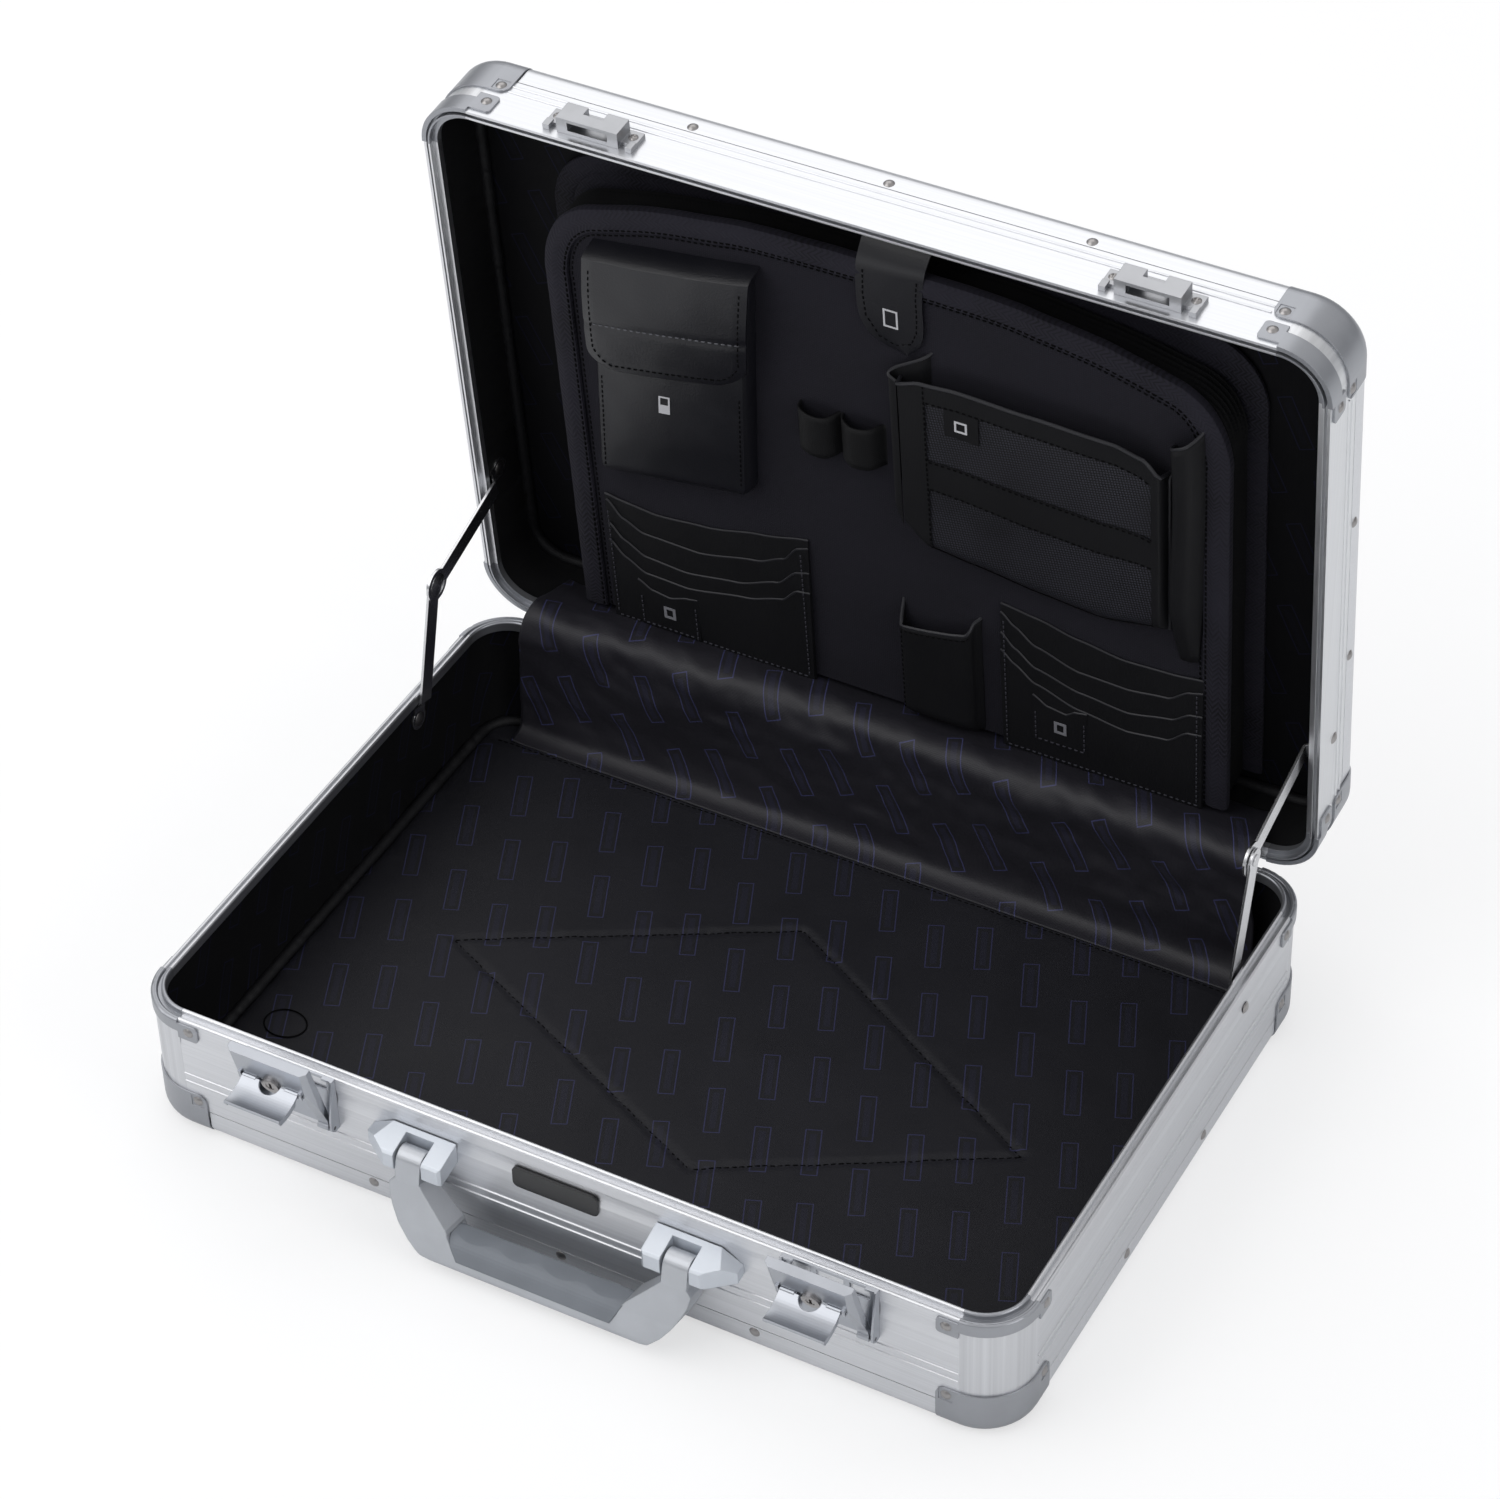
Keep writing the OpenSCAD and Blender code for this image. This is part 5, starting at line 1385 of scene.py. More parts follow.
@dataclass
class ExpandingFolder:
    """Folder behind the board: a rear board and pleated gussets at its sides.

    Attributes:
        half_w: Half the rear board's width.
        top: The y of its highest point.
        bottom: The y of its foot.
        near: Height of the gussets' front.
        far: Height of the rear board's back.
    """

    half_w: float = 185.0
    top: float = -140.0
    bottom: float = 146.0
    near: float = 90.2
    far: float = 112.6

    def build(self) -> None:
        """Builds the rear board, its tape and the pleats."""
        rear = OrganiserBoard(self.half_w, self.top, self.bottom, 48.0)
        sketch = Sketch()
        count = 160
        front = []
        for inset, near in ((0.0, 2.2), (2.0, 3.0), (9.0, 3.2), (10.5, 2.4)):
            z = self.far - near
            front.append([sketch.add((x, y, z), (x, y)) for x, y in rear.outline(inset, count)])
        back = [sketch.add((x, y, self.far - 0.6), (x, y)) for x, y in rear.outline(0.0, count)]
        sketch.rows([back, *front])
        sketch.faces.append(tuple(reversed(front[-1])))
        sketch.faces.append(tuple(back))
        board = sketch.finish("folder_rear_board", Place.LID, BINDING)
        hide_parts("organiser_folder")
        pleats = Sketch()
        folds = 6
        shape = OrganiserBoard(self.half_w - 3, self.top + 10, self.bottom, 50.0)
        grid = []
        for k in range(folds * 4 + 1):
            share = k / (folds * 4)
            z = self.near + (self.far - 3.8 - self.near) * share
            inset = 5.5 + 4.0 * abs(((k / 2) % 2) - 1)
            grid.append(
                [
                    pleats.add((x + 0.7 * ripple(x, y, k, 30), y, z), (1.8 * i, z))
                    for i, (x, y) in enumerate(shape.outline(inset, 200))
                ]
            )
        pleats.rows(grid, flip=True)
        gusset = pleats.finish("folder_gusset", Place.LID, SIDE_CLOTH, sharp=50)


@dataclass
class Patch:
    """A sewn flat piece on the board: a grid between an upper line and a lower line.

    Attributes:
        name: The piece's name.
        top: Its upper line.
        bottom: Its lower line.
        proud: How far it stands off the board.
        thick: Its thickness.
        swell: How far its middle stands out further.
    """

    name: str
    top: tuple[Flat, ...]
    bottom: tuple[Flat, ...]
    proud: float
    thick: float
    swell: float

    def point(self, s: float, t: float) -> Point:
        """A point on the piece's face.

        Args:
            s: Share across, 0 at the left.
            t: Share down, 0 at the top.

        Returns:
            The point in the shut lid's layout.
        """
        x0 = self.top[0][0] + (self.bottom[0][0] - self.top[0][0]) * t
        x1 = self.top[-1][0] + (self.bottom[-1][0] - self.top[-1][0]) * t
        x = x0 + (x1 - x0) * s
        xt = self.top[0][0] + (self.top[-1][0] - self.top[0][0]) * s
        xb = self.bottom[0][0] + (self.bottom[-1][0] - self.bottom[0][0]) * s
        y0, y1 = curve_height(self.top, xt), curve_height(self.bottom, xb)
        y = y0 + (y1 - y0) * t
        rise = self.proud + self.swell * math.sin(math.pi * s) * math.sin(math.pi * (0.15 + 0.85 * t))
        return on_board(x, y, rise + 0.15 * ripple(x, y, 1, 18))

    def build(self, nodes: Iterable[str] = ()) -> None:
        """Builds the piece and its rolled upper edge.

        Args:
            nodes: CAD nodes that it stands for.
        """
        across, down = 44, 24
        sketch = Sketch()
        face = [[self.point(s, t) for s in spread(across)] for t in spread(down)]
        laid = [[(p, (p[0], p[1])) for p in row] for row in face]
        sketch.slab(laid, lambda p: (p[0], p[1], p[2] + self.thick))
        piece = sketch.finish(self.name, Place.LID, POCKET_CLOTH)
        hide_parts(*nodes)
        rolled = Sketch()
        path = [self.point(s, 0.0) for s in spread(across * 2)]
        rolled.tube([(x, y, z + self.thick / 2) for x, y, z in path], self.thick / 2 + 0.25, 6)
        rolled.finish(self.name + "_edge", Place.LID, POCKET_EDGE)


def seam(name: str, lines: Sequence[Sequence[Point]], finish: Finish = THREAD, pitch: float = 3.2) -> None:
    """Sews rows of stitches on the lid's pieces.

    Args:
        name: The piece's name.
        lines: Paths of the rows, on the surface.
        finish: The thread.
        pitch: Distance from stitch to stitch.
    """
    sketch = Sketch()
    for line in lines:
        sketch.stitches(line, Vector((0, 0, -1)), pitch, (pitch * 0.6, 0.7, 0.4))
    sketch.finish(name, Place.LID, finish)


def printed_mark(
    name: str,
    middle: Point,
    size: Flat,
    bar: float = 0.9,
    ink: Finish = MARK,
    lean: Flat = (0.0, 0.0),
    foot: float = 0.0,
) -> None:
    """A small pale outlined box printed on a pocket.

    Args:
        name: The piece's name.
        middle: Its middle, and the height of the surface it lies on.
        size: Its width and height.
        bar: Width of its line.
        ink: What it is printed with.
        lean: How far it leans sideways per step down, and down per step sideways.
        foot: Height of its filled lower part.
    """
    sketch = Sketch()
    x, y, proud = middle
    w, h = size[0] / 2, size[1] / 2
    outer = [(-w, -h), (w, -h), (w, h), (-w, h)]
    iw, top, low = w - bar, bar - h, h - bar - foot
    inner = [(-iw, top), (iw, top), (iw, low), (-iw, low)]
    rings = []
    ink_thick = 0.25
    for line, rise in ((outer, 0.0), (outer, ink_thick), (inner, ink_thick), (inner, 0.0)):
        laid = [(x + u + lean[0] * v, y + v + lean[1] * u) for u, v in line]
        rings.append([sketch.add(on_board(px, py, proud + rise), (px, py)) for px, py in laid])
    sketch.rows(rings + [rings[0]], round_=True, flip=True)
    sketch.finish(name, Place.LID, ink)


@dataclass
class CardPockets:
    """Two stacks of card pockets, each with four tiers and a small front pocket.

    Attributes:
        foot: The y of their foot.
        proud: How far the first tier stands off the board.
        thick: Thickness of a tier.
        low: The y of the seam at their foot.
        seam_in: Distance of the seams from the sides.
    """

    foot: float = 152.0
    proud: float = 2.0
    thick: float = 0.7
    low: float = 150.0
    seam_in: float = 2.4

    def stack(
        self, name: str, x0: float, x1: float, tops: Sequence[Sequence[Flat]], nodes: Iterable[str]
    ) -> None:
        """Builds one stack.

        Args:
            name: Name of the stack.
            x0: Its left side.
            x1: Its right side.
            tops: Upper edge of each tier, the back tier first.
            nodes: CAD nodes that it stands for.
        """
        for i, top in enumerate(tops):
            foot = ((x0, self.foot), (x1, self.foot))
            proud, swell = self.proud + self.thick * i, 0.5 + 0.15 * i
            tier = Patch(f"{name}_tier_{i + 1}", tuple(top), foot, proud, self.thick, swell)
            tier.build(nodes if i == 0 else ())
        first, last = tops[0][0], tops[0][-1]
        rise = self.proud + self.thick * (len(tops) - 1) + 0.4
        left, right = x0 + self.seam_in, x1 - self.seam_in
        rows = (
            ((left, first[1] + 8), (left, self.low)),
            ((right, last[1] + 8), (right, self.low)),
            ((left, self.low), (right, self.low)),
        )
        seam(f"{name}_thread", [[on_board(x, y, rise) for x, y in row] for row in rows], PALE_THREAD)

    def build(self) -> None:
        """Builds both stacks with their small pockets and marks."""
        left = [
            [(-159, 70), (-148, 72), (-130, 74), (-100, 71), (-70, 64), (-44, 58)],
            [(-158, 73), (-150, 83), (-138, 89), (-107, 90), (-73, 82), (-58, 75), (-50, 65), (-44, 63)],
            [(-158, 88), (-150, 97), (-138, 104), (-115, 106), (-85, 101), (-62, 92), (-51, 81), (-44, 79)],
            [(-158, 99), (-150, 108), (-138, 115), (-115, 116), (-80, 109), (-60, 102), (-51, 93), (-44, 92)],
        ]
        right = [
            [(60, 58), (80, 61), (100, 66), (125, 70), (150, 69), (166, 67)],
            [(60, 63), (67, 70), (78, 79), (101, 87), (127, 88), (148, 85), (159, 77), (166, 75)],
            [(60, 76), (67, 84), (78, 93), (101, 100), (127, 103), (150, 98), (160, 91), (166, 90)],
            [(60, 87), (67, 94), (78, 103), (101, 111), (127, 115), (148, 112), (159, 103), (166, 102)],
        ]
        self.stack("card_pocket_left", -159, -45, left, ["card_pockets"])
        self.stack("card_pocket_right", 60, 166, right, ())
        for name, x0, y0, x1 in (("left", -143.0, 120.0, -109.0), ("right", 77.0, 110.0, 106.0)):
            lip = ((x0, y0), (x0 + 8, y0 + 5), (x0 + 18, y0 + 6.5), (x1 - 6, y0 + 3), (x1, y0 + 2))
            low = y0 + 30.0
            Patch(f"sim_pocket_{name}", lip, ((x0, low), (x1, low)), 5.0, self.thick, 0.4).build()
            left_x, right_x, foot = x0 + 1.5, x1 - 1.5, low - 1.5
            sewn = ((left_x, y0 + 10), (left_x, foot), (right_x, foot), (right_x, y0 + 8))
            seam(f"sim_pocket_{name}_thread", [[on_board(x, y, 5.3) for x, y in sewn]], PALE_THREAD)
            middle = ((x0 + x1) / 2 + 0.5, y0 + 16.5, 5.6)
            printed_mark(f"sim_pocket_{name}_mark", middle, (6.6, 7.6), 1.5, DIM_MARK)


def between(corners: Sequence[Flat], s: float, t: float) -> Flat:
    """A point inside a four-sided shape.

    Args:
        corners: Upper left, upper right, lower right and lower left corner.
        s: Share across.
        t: Share down.

    Returns:
        The point.
    """
    (ax, ay), (bx, by), (cx, cy), (dx, dy) = corners
    x = (ax * (1 - s) + bx * s) * (1 - t) + (dx * (1 - s) + cx * s) * t
    y = (ay * (1 - s) + by * s) * (1 - t) + (dy * (1 - s) + cy * s) * t
    return x, y


@dataclass
class PhonePouch:
    """Coated pouch with side gussets and a wide flap sewn across.

    Attributes:
        body: Corners of the pouch: upper left, upper right, lower right, lower left.
        flap: Corners of its flap.
        deep: How far it stands off the board.
        span: Its width and height, over which its sides are rounded.
        side_roll: Distance over which a side rolls down to the board.
        foot_roll: Distance over which the foot does.
        edge_seam: Share of the flap's width between its sides and their seams.
        seam_end: Share of the flap's height where those seams turn its corners.
        cross_seam: Share of the flap's height where it is sewn across.
    """

    body: tuple[Flat, ...] = ((-147.0, -92.0), (-62.0, -104.0), (-70.0, 36.0), (-156.0, 49.0))
    flap: tuple[Flat, ...] = ((-149.0, -96.5), (-59.0, -109.5), (-65.0, -41.0), (-153.0, -23.0))
    deep: float = 11.0
    span: Flat = (90.0, 138.0)
    side_roll: float = 2.6
    foot_roll: float = 6.0
    edge_seam: float = 0.045
    seam_end: float = 0.8
    cross_seam: float = 0.58

    def rise(self, s: float, t: float) -> float:
        """How far the body stands off the board.

        Args:
            s: Share across.
            t: Share down.

        Returns:
            The height in millimetres.
        """
        side, low = min(s, 1 - s) * self.span[0], (1 - t) * self.span[1]
        wall = 1 - max(0.0, 1 - side / self.side_roll) ** 2
        foot = 1 - max(0.0, 1 - low / self.foot_roll) ** 2
        belly = 1.6 * math.sin(math.pi * s) * math.sin(math.pi * t)
        return 0.4 + (self.deep - 1.5) * wall * foot + belly * wall

    def build(self) -> None:
        """Builds body, flap, seams and mark."""
        body = Sketch()
        grid = []
        for t in spread(60):
            row = []
            for s in spread(60):
                u = s
                if t > 0.93:
                    u = s + (0.5 - s) * 0.09 * ((t - 0.93) / 0.07) ** 2
                x, y = between(self.body, u, t)
                row.append((on_board(x, y, self.rise(s, t) + 0.2 * ripple(x, y, 2, 16)), (x, y)))
            grid.append(row)
        body.slab(grid, lambda p: (p[0], p[1], BOARD_Z - 0.1))
        pouch = body.finish("phone_pouch_body", Place.LID, POUCH)
        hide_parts("phone_pouch")
        flap = Sketch()
        grid = [
            [(self.on_flap(s, t), between(self.flap, s, t)) for s in spread(60)] for t in spread(44)
        ]
        flap.slab(grid, lambda p: (p[0], p[1], p[2] + 1.2))
        flap.finish("phone_pouch_flap", Place.LID, POUCH)
        self.sew()
        x, y = between(self.body, 0.47, 0.6)
        printed_mark("phone_pouch_mark", (x, y, self.deep + 0.6), (6.2, 11.0), 0.9, MARK, (-0.07, -0.14), 4.6)

    def on_flap(self, s: float, t: float, up: float = 0.0) -> Point:
        """A point of the flap's face, with its lower corners rounded.

        Args:
            s: Share across.
            t: Share down.
            up: How far above the face.

        Returns:
            The point in the shut lid's layout.
        """
        corner = 0.15 * max(0.0, (t - 0.78) / 0.22) ** 2.6
        x, y = between(self.flap, corner + s * (1 - 2 * corner), t)
        roll = 1 - max(0.0, 1 - t * 20) ** 2.4
        edge = 0.7 * max(0.0, 1 - min(s, 1 - s) * 16) + 0.6 * max(0.0, (t - 0.94) / 0.06)
        z = 0.7 + (self.deep + 1.0) * roll - edge + 1.5 * math.sin(math.pi * s) * (1 - 0.5 * t)
        z += 2.2 * math.sin(math.pi * min(1.0, 0.04 + 1.05 * t)) * roll
        z += 0.35 * ripple(x, y, 5, 20) - 0.5 * math.exp(-(((t - self.cross_seam) / 0.03) ** 2))
        return on_board(x, y, z + up)

    def sew(self) -> None:
        """Sews the flap's edge and cross seam and the body's sides."""
        left, right, end = self.edge_seam, 1 - self.edge_seam, self.seam_end
        rows = [[(s, t) for t in (0.12, 0.3, 0.5, 0.7, end)] for s in (left, right)]
        foot = [(0.1 + 0.8 * k / 20, 0.945) for k in range(21)]
        rows.append([(left, end), (0.07, 0.9), *foot, (0.93, 0.9), (right, end)])
        lines = [[self.on_flap(s, t, 0.1) for s, t in row] for row in rows]
        seam("phone_pouch_flap_thread", lines, THREAD, 3.6)
        across = [self.on_flap(0.05 + 0.9 * s, self.cross_seam, 0.1) for s in spread(24)]
        seam("phone_pouch_cross_thread", [across], FLAP_THREAD, 3.6)
        sides = []
        for s in (0.055, 0.945):
            line = []
            for share in spread(12):
                t = 0.52 + 0.42 * share
                x, y = between(self.body, s, t)
                line.append(on_board(x, y, self.rise(s, t) + 0.1))
            sides.append(line)
        seam("phone_pouch_body_thread", sides)


@dataclass
class ClosingStrap:
    """Tab that comes over the board's top and holds the folder shut.

    Attributes:
        left: Its left edge, from the top down.
        right: Its right edge.
        middle: Its middle, towards which the seam is drawn in.
    """

    left: tuple[Flat, ...] = ((-6.0, -144.0), (-8.0, -120.0), (-7.0, -100.0), (0.0, -89.0), (16.0, -84.0))
    right: tuple[Flat, ...] = ((29.0, -144.0), (26.0, -120.0), (26.0, -102.0), (24.0, -92.0), (18.0, -84.0))
    middle: Flat = (10.0, -118.0)

    def build(self) -> None:
        """Builds the tab, its seam and mark."""
        sketch = Sketch()
        grid = []
        for t in spread(26):
            a, b = along(self.left, t), along(self.right, t)
            row = []
            for s in spread(12):
                x, y = a[0] + (b[0] - a[0]) * s, a[1] + (b[1] - a[1]) * s
                over = 6.0 * max(0.0, 1 - t * 6)
                z = 2.6 + 0.5 * math.sin(math.pi * s) - over
                row.append((on_board(x, y, z), (x, y)))
            grid.append(row)
        sketch.slab(grid, lambda p: (p[0], p[1], p[2] + 1.3))
        strap = sketch.finish("closing_strap_tab", Place.LID, POUCH)
        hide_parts("closing_strap")
        line = [along(self.left, t) for t in (0.2, 0.4, 0.6, 0.8, 0.93)]
        line += [along(self.right, t) for t in (0.9, 0.75, 0.6, 0.4, 0.2)]
        mx, my = self.middle
        inner = [(x + (mx - x) * 0.2, y + (my - y) * 0.1) for x, y in line]
        seam("closing_strap_thread", [[on_board(x, y, 2.9) for x, y in inner]])
        printed_mark("closing_strap_mark", (9.5, -103.5, 3.1), (7.5, 10.5))


@dataclass
class PenLoops:
    """Two elastic loops side by side.

    Attributes:
        top: The y of the ribbon's upper edge.
        wide: Its width.
        run: Its length.
        path: Its run from left to right, as x and height off the board.
    """

    top: float = -34.0
    wide: float = 25.0
    run: float = 90.0
    path: tuple[Flat, ...] = (
        (-45.0, 0.2), (-42.5, 0.6), (-41.0, 6.0), (-34.0, 9.5), (-26.0, 8.5), (-21.5, 1.2),
        (-20.0, 0.8), (-18.5, 5.0), (-12.0, 9.0), (-4.0, 8.0), (0.5, 2.0), (2.0, 0.6), (5.0, 0.4),
    )

    def build(self) -> None:
        """Builds one ribbon that rises twice off the board."""
        sketch = Sketch()
        grid = []
        for t in spread(60):
            x, rise = along(self.path, t)
            row = []
            for s in spread(8):
                y = self.top + self.wide * s + 0.3 * ripple(x, s * 20, 3, 8)
                row.append((on_board(x, y, rise), (t * self.run, s * self.wide)))
            grid.append(row)
        sketch.open_sheet(grid)
        loop = sketch.finish("pen_loops_elastic", Place.LID, ELASTIC, sharp=180.0)
        thicken(loop, 1.0)
        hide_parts("pen_loops")


@dataclass
class MeshPocket:
    """Gusseted pocket with two net windows, and a narrow side pocket next to it.

    Attributes:
        x0: Its left side.
        x1: Its right side.
        deep: How far it stands off the board.
        upper: Line of its mouth.
        lower: Line of its foot.
        net_left: Share across where the cloth strip ends and the net starts.
        net_right: Share across where the net ends.
    """

    x0: float = 13.0
    x1: float = 149.0
    deep: float = 9.0
    upper: tuple[Flat, ...] = (
        (13.0, -71.0), (27.0, -76.0), (46.0, -78.0), (85.0, -77.0), (125.0, -75.0), (139.0, -71.0),
        (149.0, -60.0),
    )
    lower: tuple[Flat, ...] = (
        (13.0, 20.0), (26.0, 33.0), (49.0, 36.0), (83.0, 41.0), (116.0, 44.0), (149.0, 38.0),
    )
    net_left: float = 0.115
    net_right: float = 0.955

    def spot(self, s: float, t: float, up: float = 0.0) -> Point:
        """A point of the pocket's face.

        Args:
            s: Share across.
            t: Share down.
            up: How far above the face.

        Returns:
            The point in the shut lid's layout.
        """
        x = self.x0 + (self.x1 - self.x0) * s
        y0, y1 = curve_height(self.upper, x), curve_height(self.lower, x)
        y = y0 + (y1 - y0) * t
        side = min(s * 1.6, 1 - s) * (self.x1 - self.x0)
        wall = 1 - max(0.0, 1 - side / 3.0) ** 2
        foot = 1 - max(0.0, 1 - (1 - t) * 100 / 9.0) ** 2
        mouth = 1.8 * math.sin(math.pi * s) * (1 - t)
        rise = 0.6 + (self.deep - 0.6) * wall * (0.3 + 0.7 * foot) + mouth
        return on_board(x, y, rise + up + 0.35 * ripple(x, y, 4, 24))

    def sheet(
        self, name: str, finish: Finish, box: tuple[float, ...], up: float, nodes: Iterable[str] = ()
    ) -> None:
        """Builds one cloth part that follows the pocket's face.

        Args:
            name: The piece's name.
            finish: Its cloth.
            box: Shares of the face at its left, top, right and bottom.
            up: How far it stands off the face.
            nodes: CAD nodes that it stands for.
        """
        s0, t0, s1, t1 = box
        sketch = Sketch()
        grid = []
        for t in spread(36):
            line = [self.spot(s0 + (s1 - s0) * s, t0 + (t1 - t0) * t, up) for s in spread(54)]
            grid.append([(p, (p[0], p[1])) for p in line])
        sketch.slab(grid, lambda p: (p[0], p[1], p[2] + 0.6))
        piece = sketch.finish(name, Place.LID, finish)
        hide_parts(*nodes)

    def build(self) -> None:
        """Builds the net, the cloth strips round it, the rolled rim and the side pocket."""
        self.sheet("mesh_pocket_net", NET, (0.0, 0.0, 1.0, 1.0), 0.0, ["mesh_pocket"])
        left, right = self.net_left, self.net_right
        strips = {
            "left": (0.0, 0.0, left, 1.0),
            "right": (right, 0.0, 1.0, 1.0),
            "top": (left, 0.0, right, 0.105),
            "middle": (left, 0.43, right, 0.6),
            "foot": (left, 0.97, right, 1.0),
        }
        for name, box in strips.items():
            self.sheet(f"mesh_pocket_strip_{name}", POCKET_CLOTH, box, 0.8)
        self.sheet("mesh_pocket_patch", POCKET_CLOTH, (0.19, 0.105, 0.32, 0.25), 1.0)
        self.rim()
        rows = [[self.spot(left - 0.003, t, 1.0) for t in spread(20)]]
        for t in (0.1, 0.436, 0.594):
            rows.append([self.spot(left + (right - left) * s, t, 1.0) for s in spread(20)])
        seam("mesh_pocket_thread", rows)
        x, y, z = self.spot(0.255, 0.18)
        printed_mark("mesh_pocket_mark", (x, y, BOARD_Z - z + 1.2), (6.5, 6.5), 1.0)
        self.gusset()
        self.side_pocket()

    def rim(self) -> None:
        """Rolls the pocket's mouth and its right edge down to the foot."""
        rolled = Sketch()
        path = [self.spot(s, 0.0, 0.7) for s in spread(70)] + [self.spot(1.0, t, 2.2) for t in spread(30)[1:]]
        rolled.tube(path, 1.0, 8)
        rolled.finish("mesh_pocket_rim", Place.LID, POCKET_EDGE)

    def gusset(self) -> None:
        """Folds the cloth at the pocket's left side back to the board."""
        fold = Sketch()
        grid = []
        line = ((13.0, self.deep - 1.0), (9.0, 7.5), (10.5, 5.0), (17.0, 4.0), (25.0, 3.0), (29.0, 0.3))
        for t in spread(24):
            x, rise = along(line, t)
            y = -71.0 - 17.0 * t
            edge = []
            for s in spread(10):
                edge.append((on_board(x, y + (30.0 + 60.0 * (1 - t)) * s, max(0.2, rise)), (t * 24, s * 60)))
            grid.append(edge)
        fold.slab(grid, lambda p: (p[0], p[1], p[2] + 0.5))
        fold.finish("mesh_pocket_gusset", Place.LID, POCKET_CLOTH)
        lip = Sketch()
        lip.tube([row[0][0] for row in grid], 0.8, 6)
        lip.finish("mesh_pocket_gusset_rim", Place.LID, POCKET_EDGE)

    def side_pocket(self) -> None:
        """Builds the narrow pocket that stands on edge beside the net."""
        sketch = Sketch()
        grid = []
        middle = 158.5
        line = ((151.0, 0.3), (151.5, 6.0), (154.0, 9.0), (160.0, 9.0), (164.5, 4.0), (166.0, 0.3))
        for t in spread(30):
            y = -92.0 + 148.0 * t
            thin = 1 - 0.8 * max(0.0, (t - 0.72) / 0.28) ** 1.5
            row = []
            for s in spread(20):
                x, r = along(line, s)
                dip = 16.0 * (1 - s) * (1 - t) ** 2
                bow = 0.8 * math.sin(6.0 * t)
                x = middle + bow + (x - middle) * (0.5 + 0.5 * thin)
                row.append((on_board(x, y + dip, 0.3 + r * thin), (s * 24, y)))
            grid.append(row)
        front = sketch.open_sheet(grid)
        pocket = sketch.finish("side_slot_pocket", Place.LID, POCKET_CLOTH, sharp=180.0)
        thicken(pocket, 0.8)
        rim = Sketch()
        rim.tube([sketch.points[i] for i in front[0]], 0.8, 6)
        rim.finish("side_slot_pocket_rim", Place.LID, POCKET_EDGE)


@dataclass
class NarrowPocket:
    """Small upright pocket with a gusset at its right side.

    Attributes:
        line: Its bulge from left to right, as x and height off the board.
        mouth: The y of its mouth at the left.
        foot: The y of its foot.
    """

    line: tuple[Flat, ...] = (
        (7.0, 0.4), (7.5, 5.0), (10.0, 8.0), (24.0, 9.0), (40.0, 8.6), (45.0, 7.0), (46.0, 3.0),
        (49.0, 0.4),
    )
    mouth: float = 90.0
    foot: float = 151.0

    def build(self) -> None:
        """Builds the face, the gusset and the rolled lip."""
        sketch = Sketch()
        grid = []
        for t in spread(24):
            row = []
            for s in spread(36):
                x, r = along(self.line, s)
                y0 = self.mouth - 14.0 * max(0.0, 1 - s * 8) - 11.0 * s - 6.0 * max(0.0, (s - 0.8) / 0.2)
                y = y0 + (self.foot - y0) * t
                foot = 1 - 0.8 * max(0.0, (t - 0.85) / 0.15) ** 2
                row.append((on_board(x, y, 0.3 + r * foot), (x, y)))
            grid.append(row)
        front = sketch.open_sheet(grid)
        pocket = sketch.finish("narrow_pocket_cloth", Place.LID, POCKET_CLOTH, sharp=180.0)
        thicken(pocket, 0.9)
        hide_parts("narrow_pocket")
        rim = Sketch()
        rim.tube([sketch.points[i] for i in front[0]], 0.9, 6)
        rim.finish("narrow_pocket_rim", Place.LID, POCKET_EDGE)
        hem = [sketch.points[front[1][i]] for i in range(4, 32)]
        side = [sketch.points[row[5]] for row in front[1:-2]]
        lift = [[(x, y, z - 0.5) for x, y, z in path] for path in (hem, side)]
        seam("narrow_pocket_thread", lift)


# ---------------------------------------------------------------- metal finishes


@dataclass
class MetalParts:
    """Finishes of the CAD nodes that show as they are.

    Attributes:
        plan: Each finish with the nodes that have it.
    """

    plan: tuple[tuple[Finish, tuple[str, ...]], ...] = (
        (WALL_X, ("base_front_wall", "base_back_wall", "base_edging", "lid_back_wall")),
        (WALL_SIDE, ("base_side_walls",)),
        (LID_FRONT, ("lid_front_wall", "lid_edging")),
        (LID_SIDE, ("lid_side_walls",)),
        (PANEL, ("base_bottom_panel", "lid_top_panel")),
        (BAND, ("base_corner_bands",)),
        (LID_BAND, ("lid_corner_bands",)),
        (CORNER, ("base_rim_clips", "base_corner_protectors", "lid_rim_clips", "lid_corner_protectors")),
        (RIVET, ("base_rivets", "lid_rivets", "striker_screws", "lock_cylinder_left", "lock_cylinder_right")),
        (PLATE, ("name_plate",)),
        (BRACKET, ("handle_bracket_left", "handle_bracket_right")),
        (HANDLE, ("handle_frame",)),
        (GRIP, ("handle_grip",)),
        (LATCH, ("latch_plate_left", "latch_cover_left", "latch_lever_left")),
        (LATCH, ("latch_plate_right", "latch_cover_right", "latch_lever_right")),
        (BLACK_STEEL, ("handle_pins", "latch_pivot_pins", "lever_pins_left", "lever_pins_right")),
        (HINGE_STEEL, ("hinge_leaf_base", "hinge_leaf_lid")),
        (STEEL, ("hinge_pin", "stay_lower_left", "stay_upper_left", "stay_elbow_rivet_left")),
        (STEEL, ("stay_lower_right", "stay_upper_right", "stay_elbow_rivet_right")),
        (STRIKER, ("strikers",)),
    )

    def build(self) -> None:
        """Paints each node."""
        for finish, names in self.plan:
            for name in names:
                paint(name, finish)


# ---------------------------------------------------------------- studio


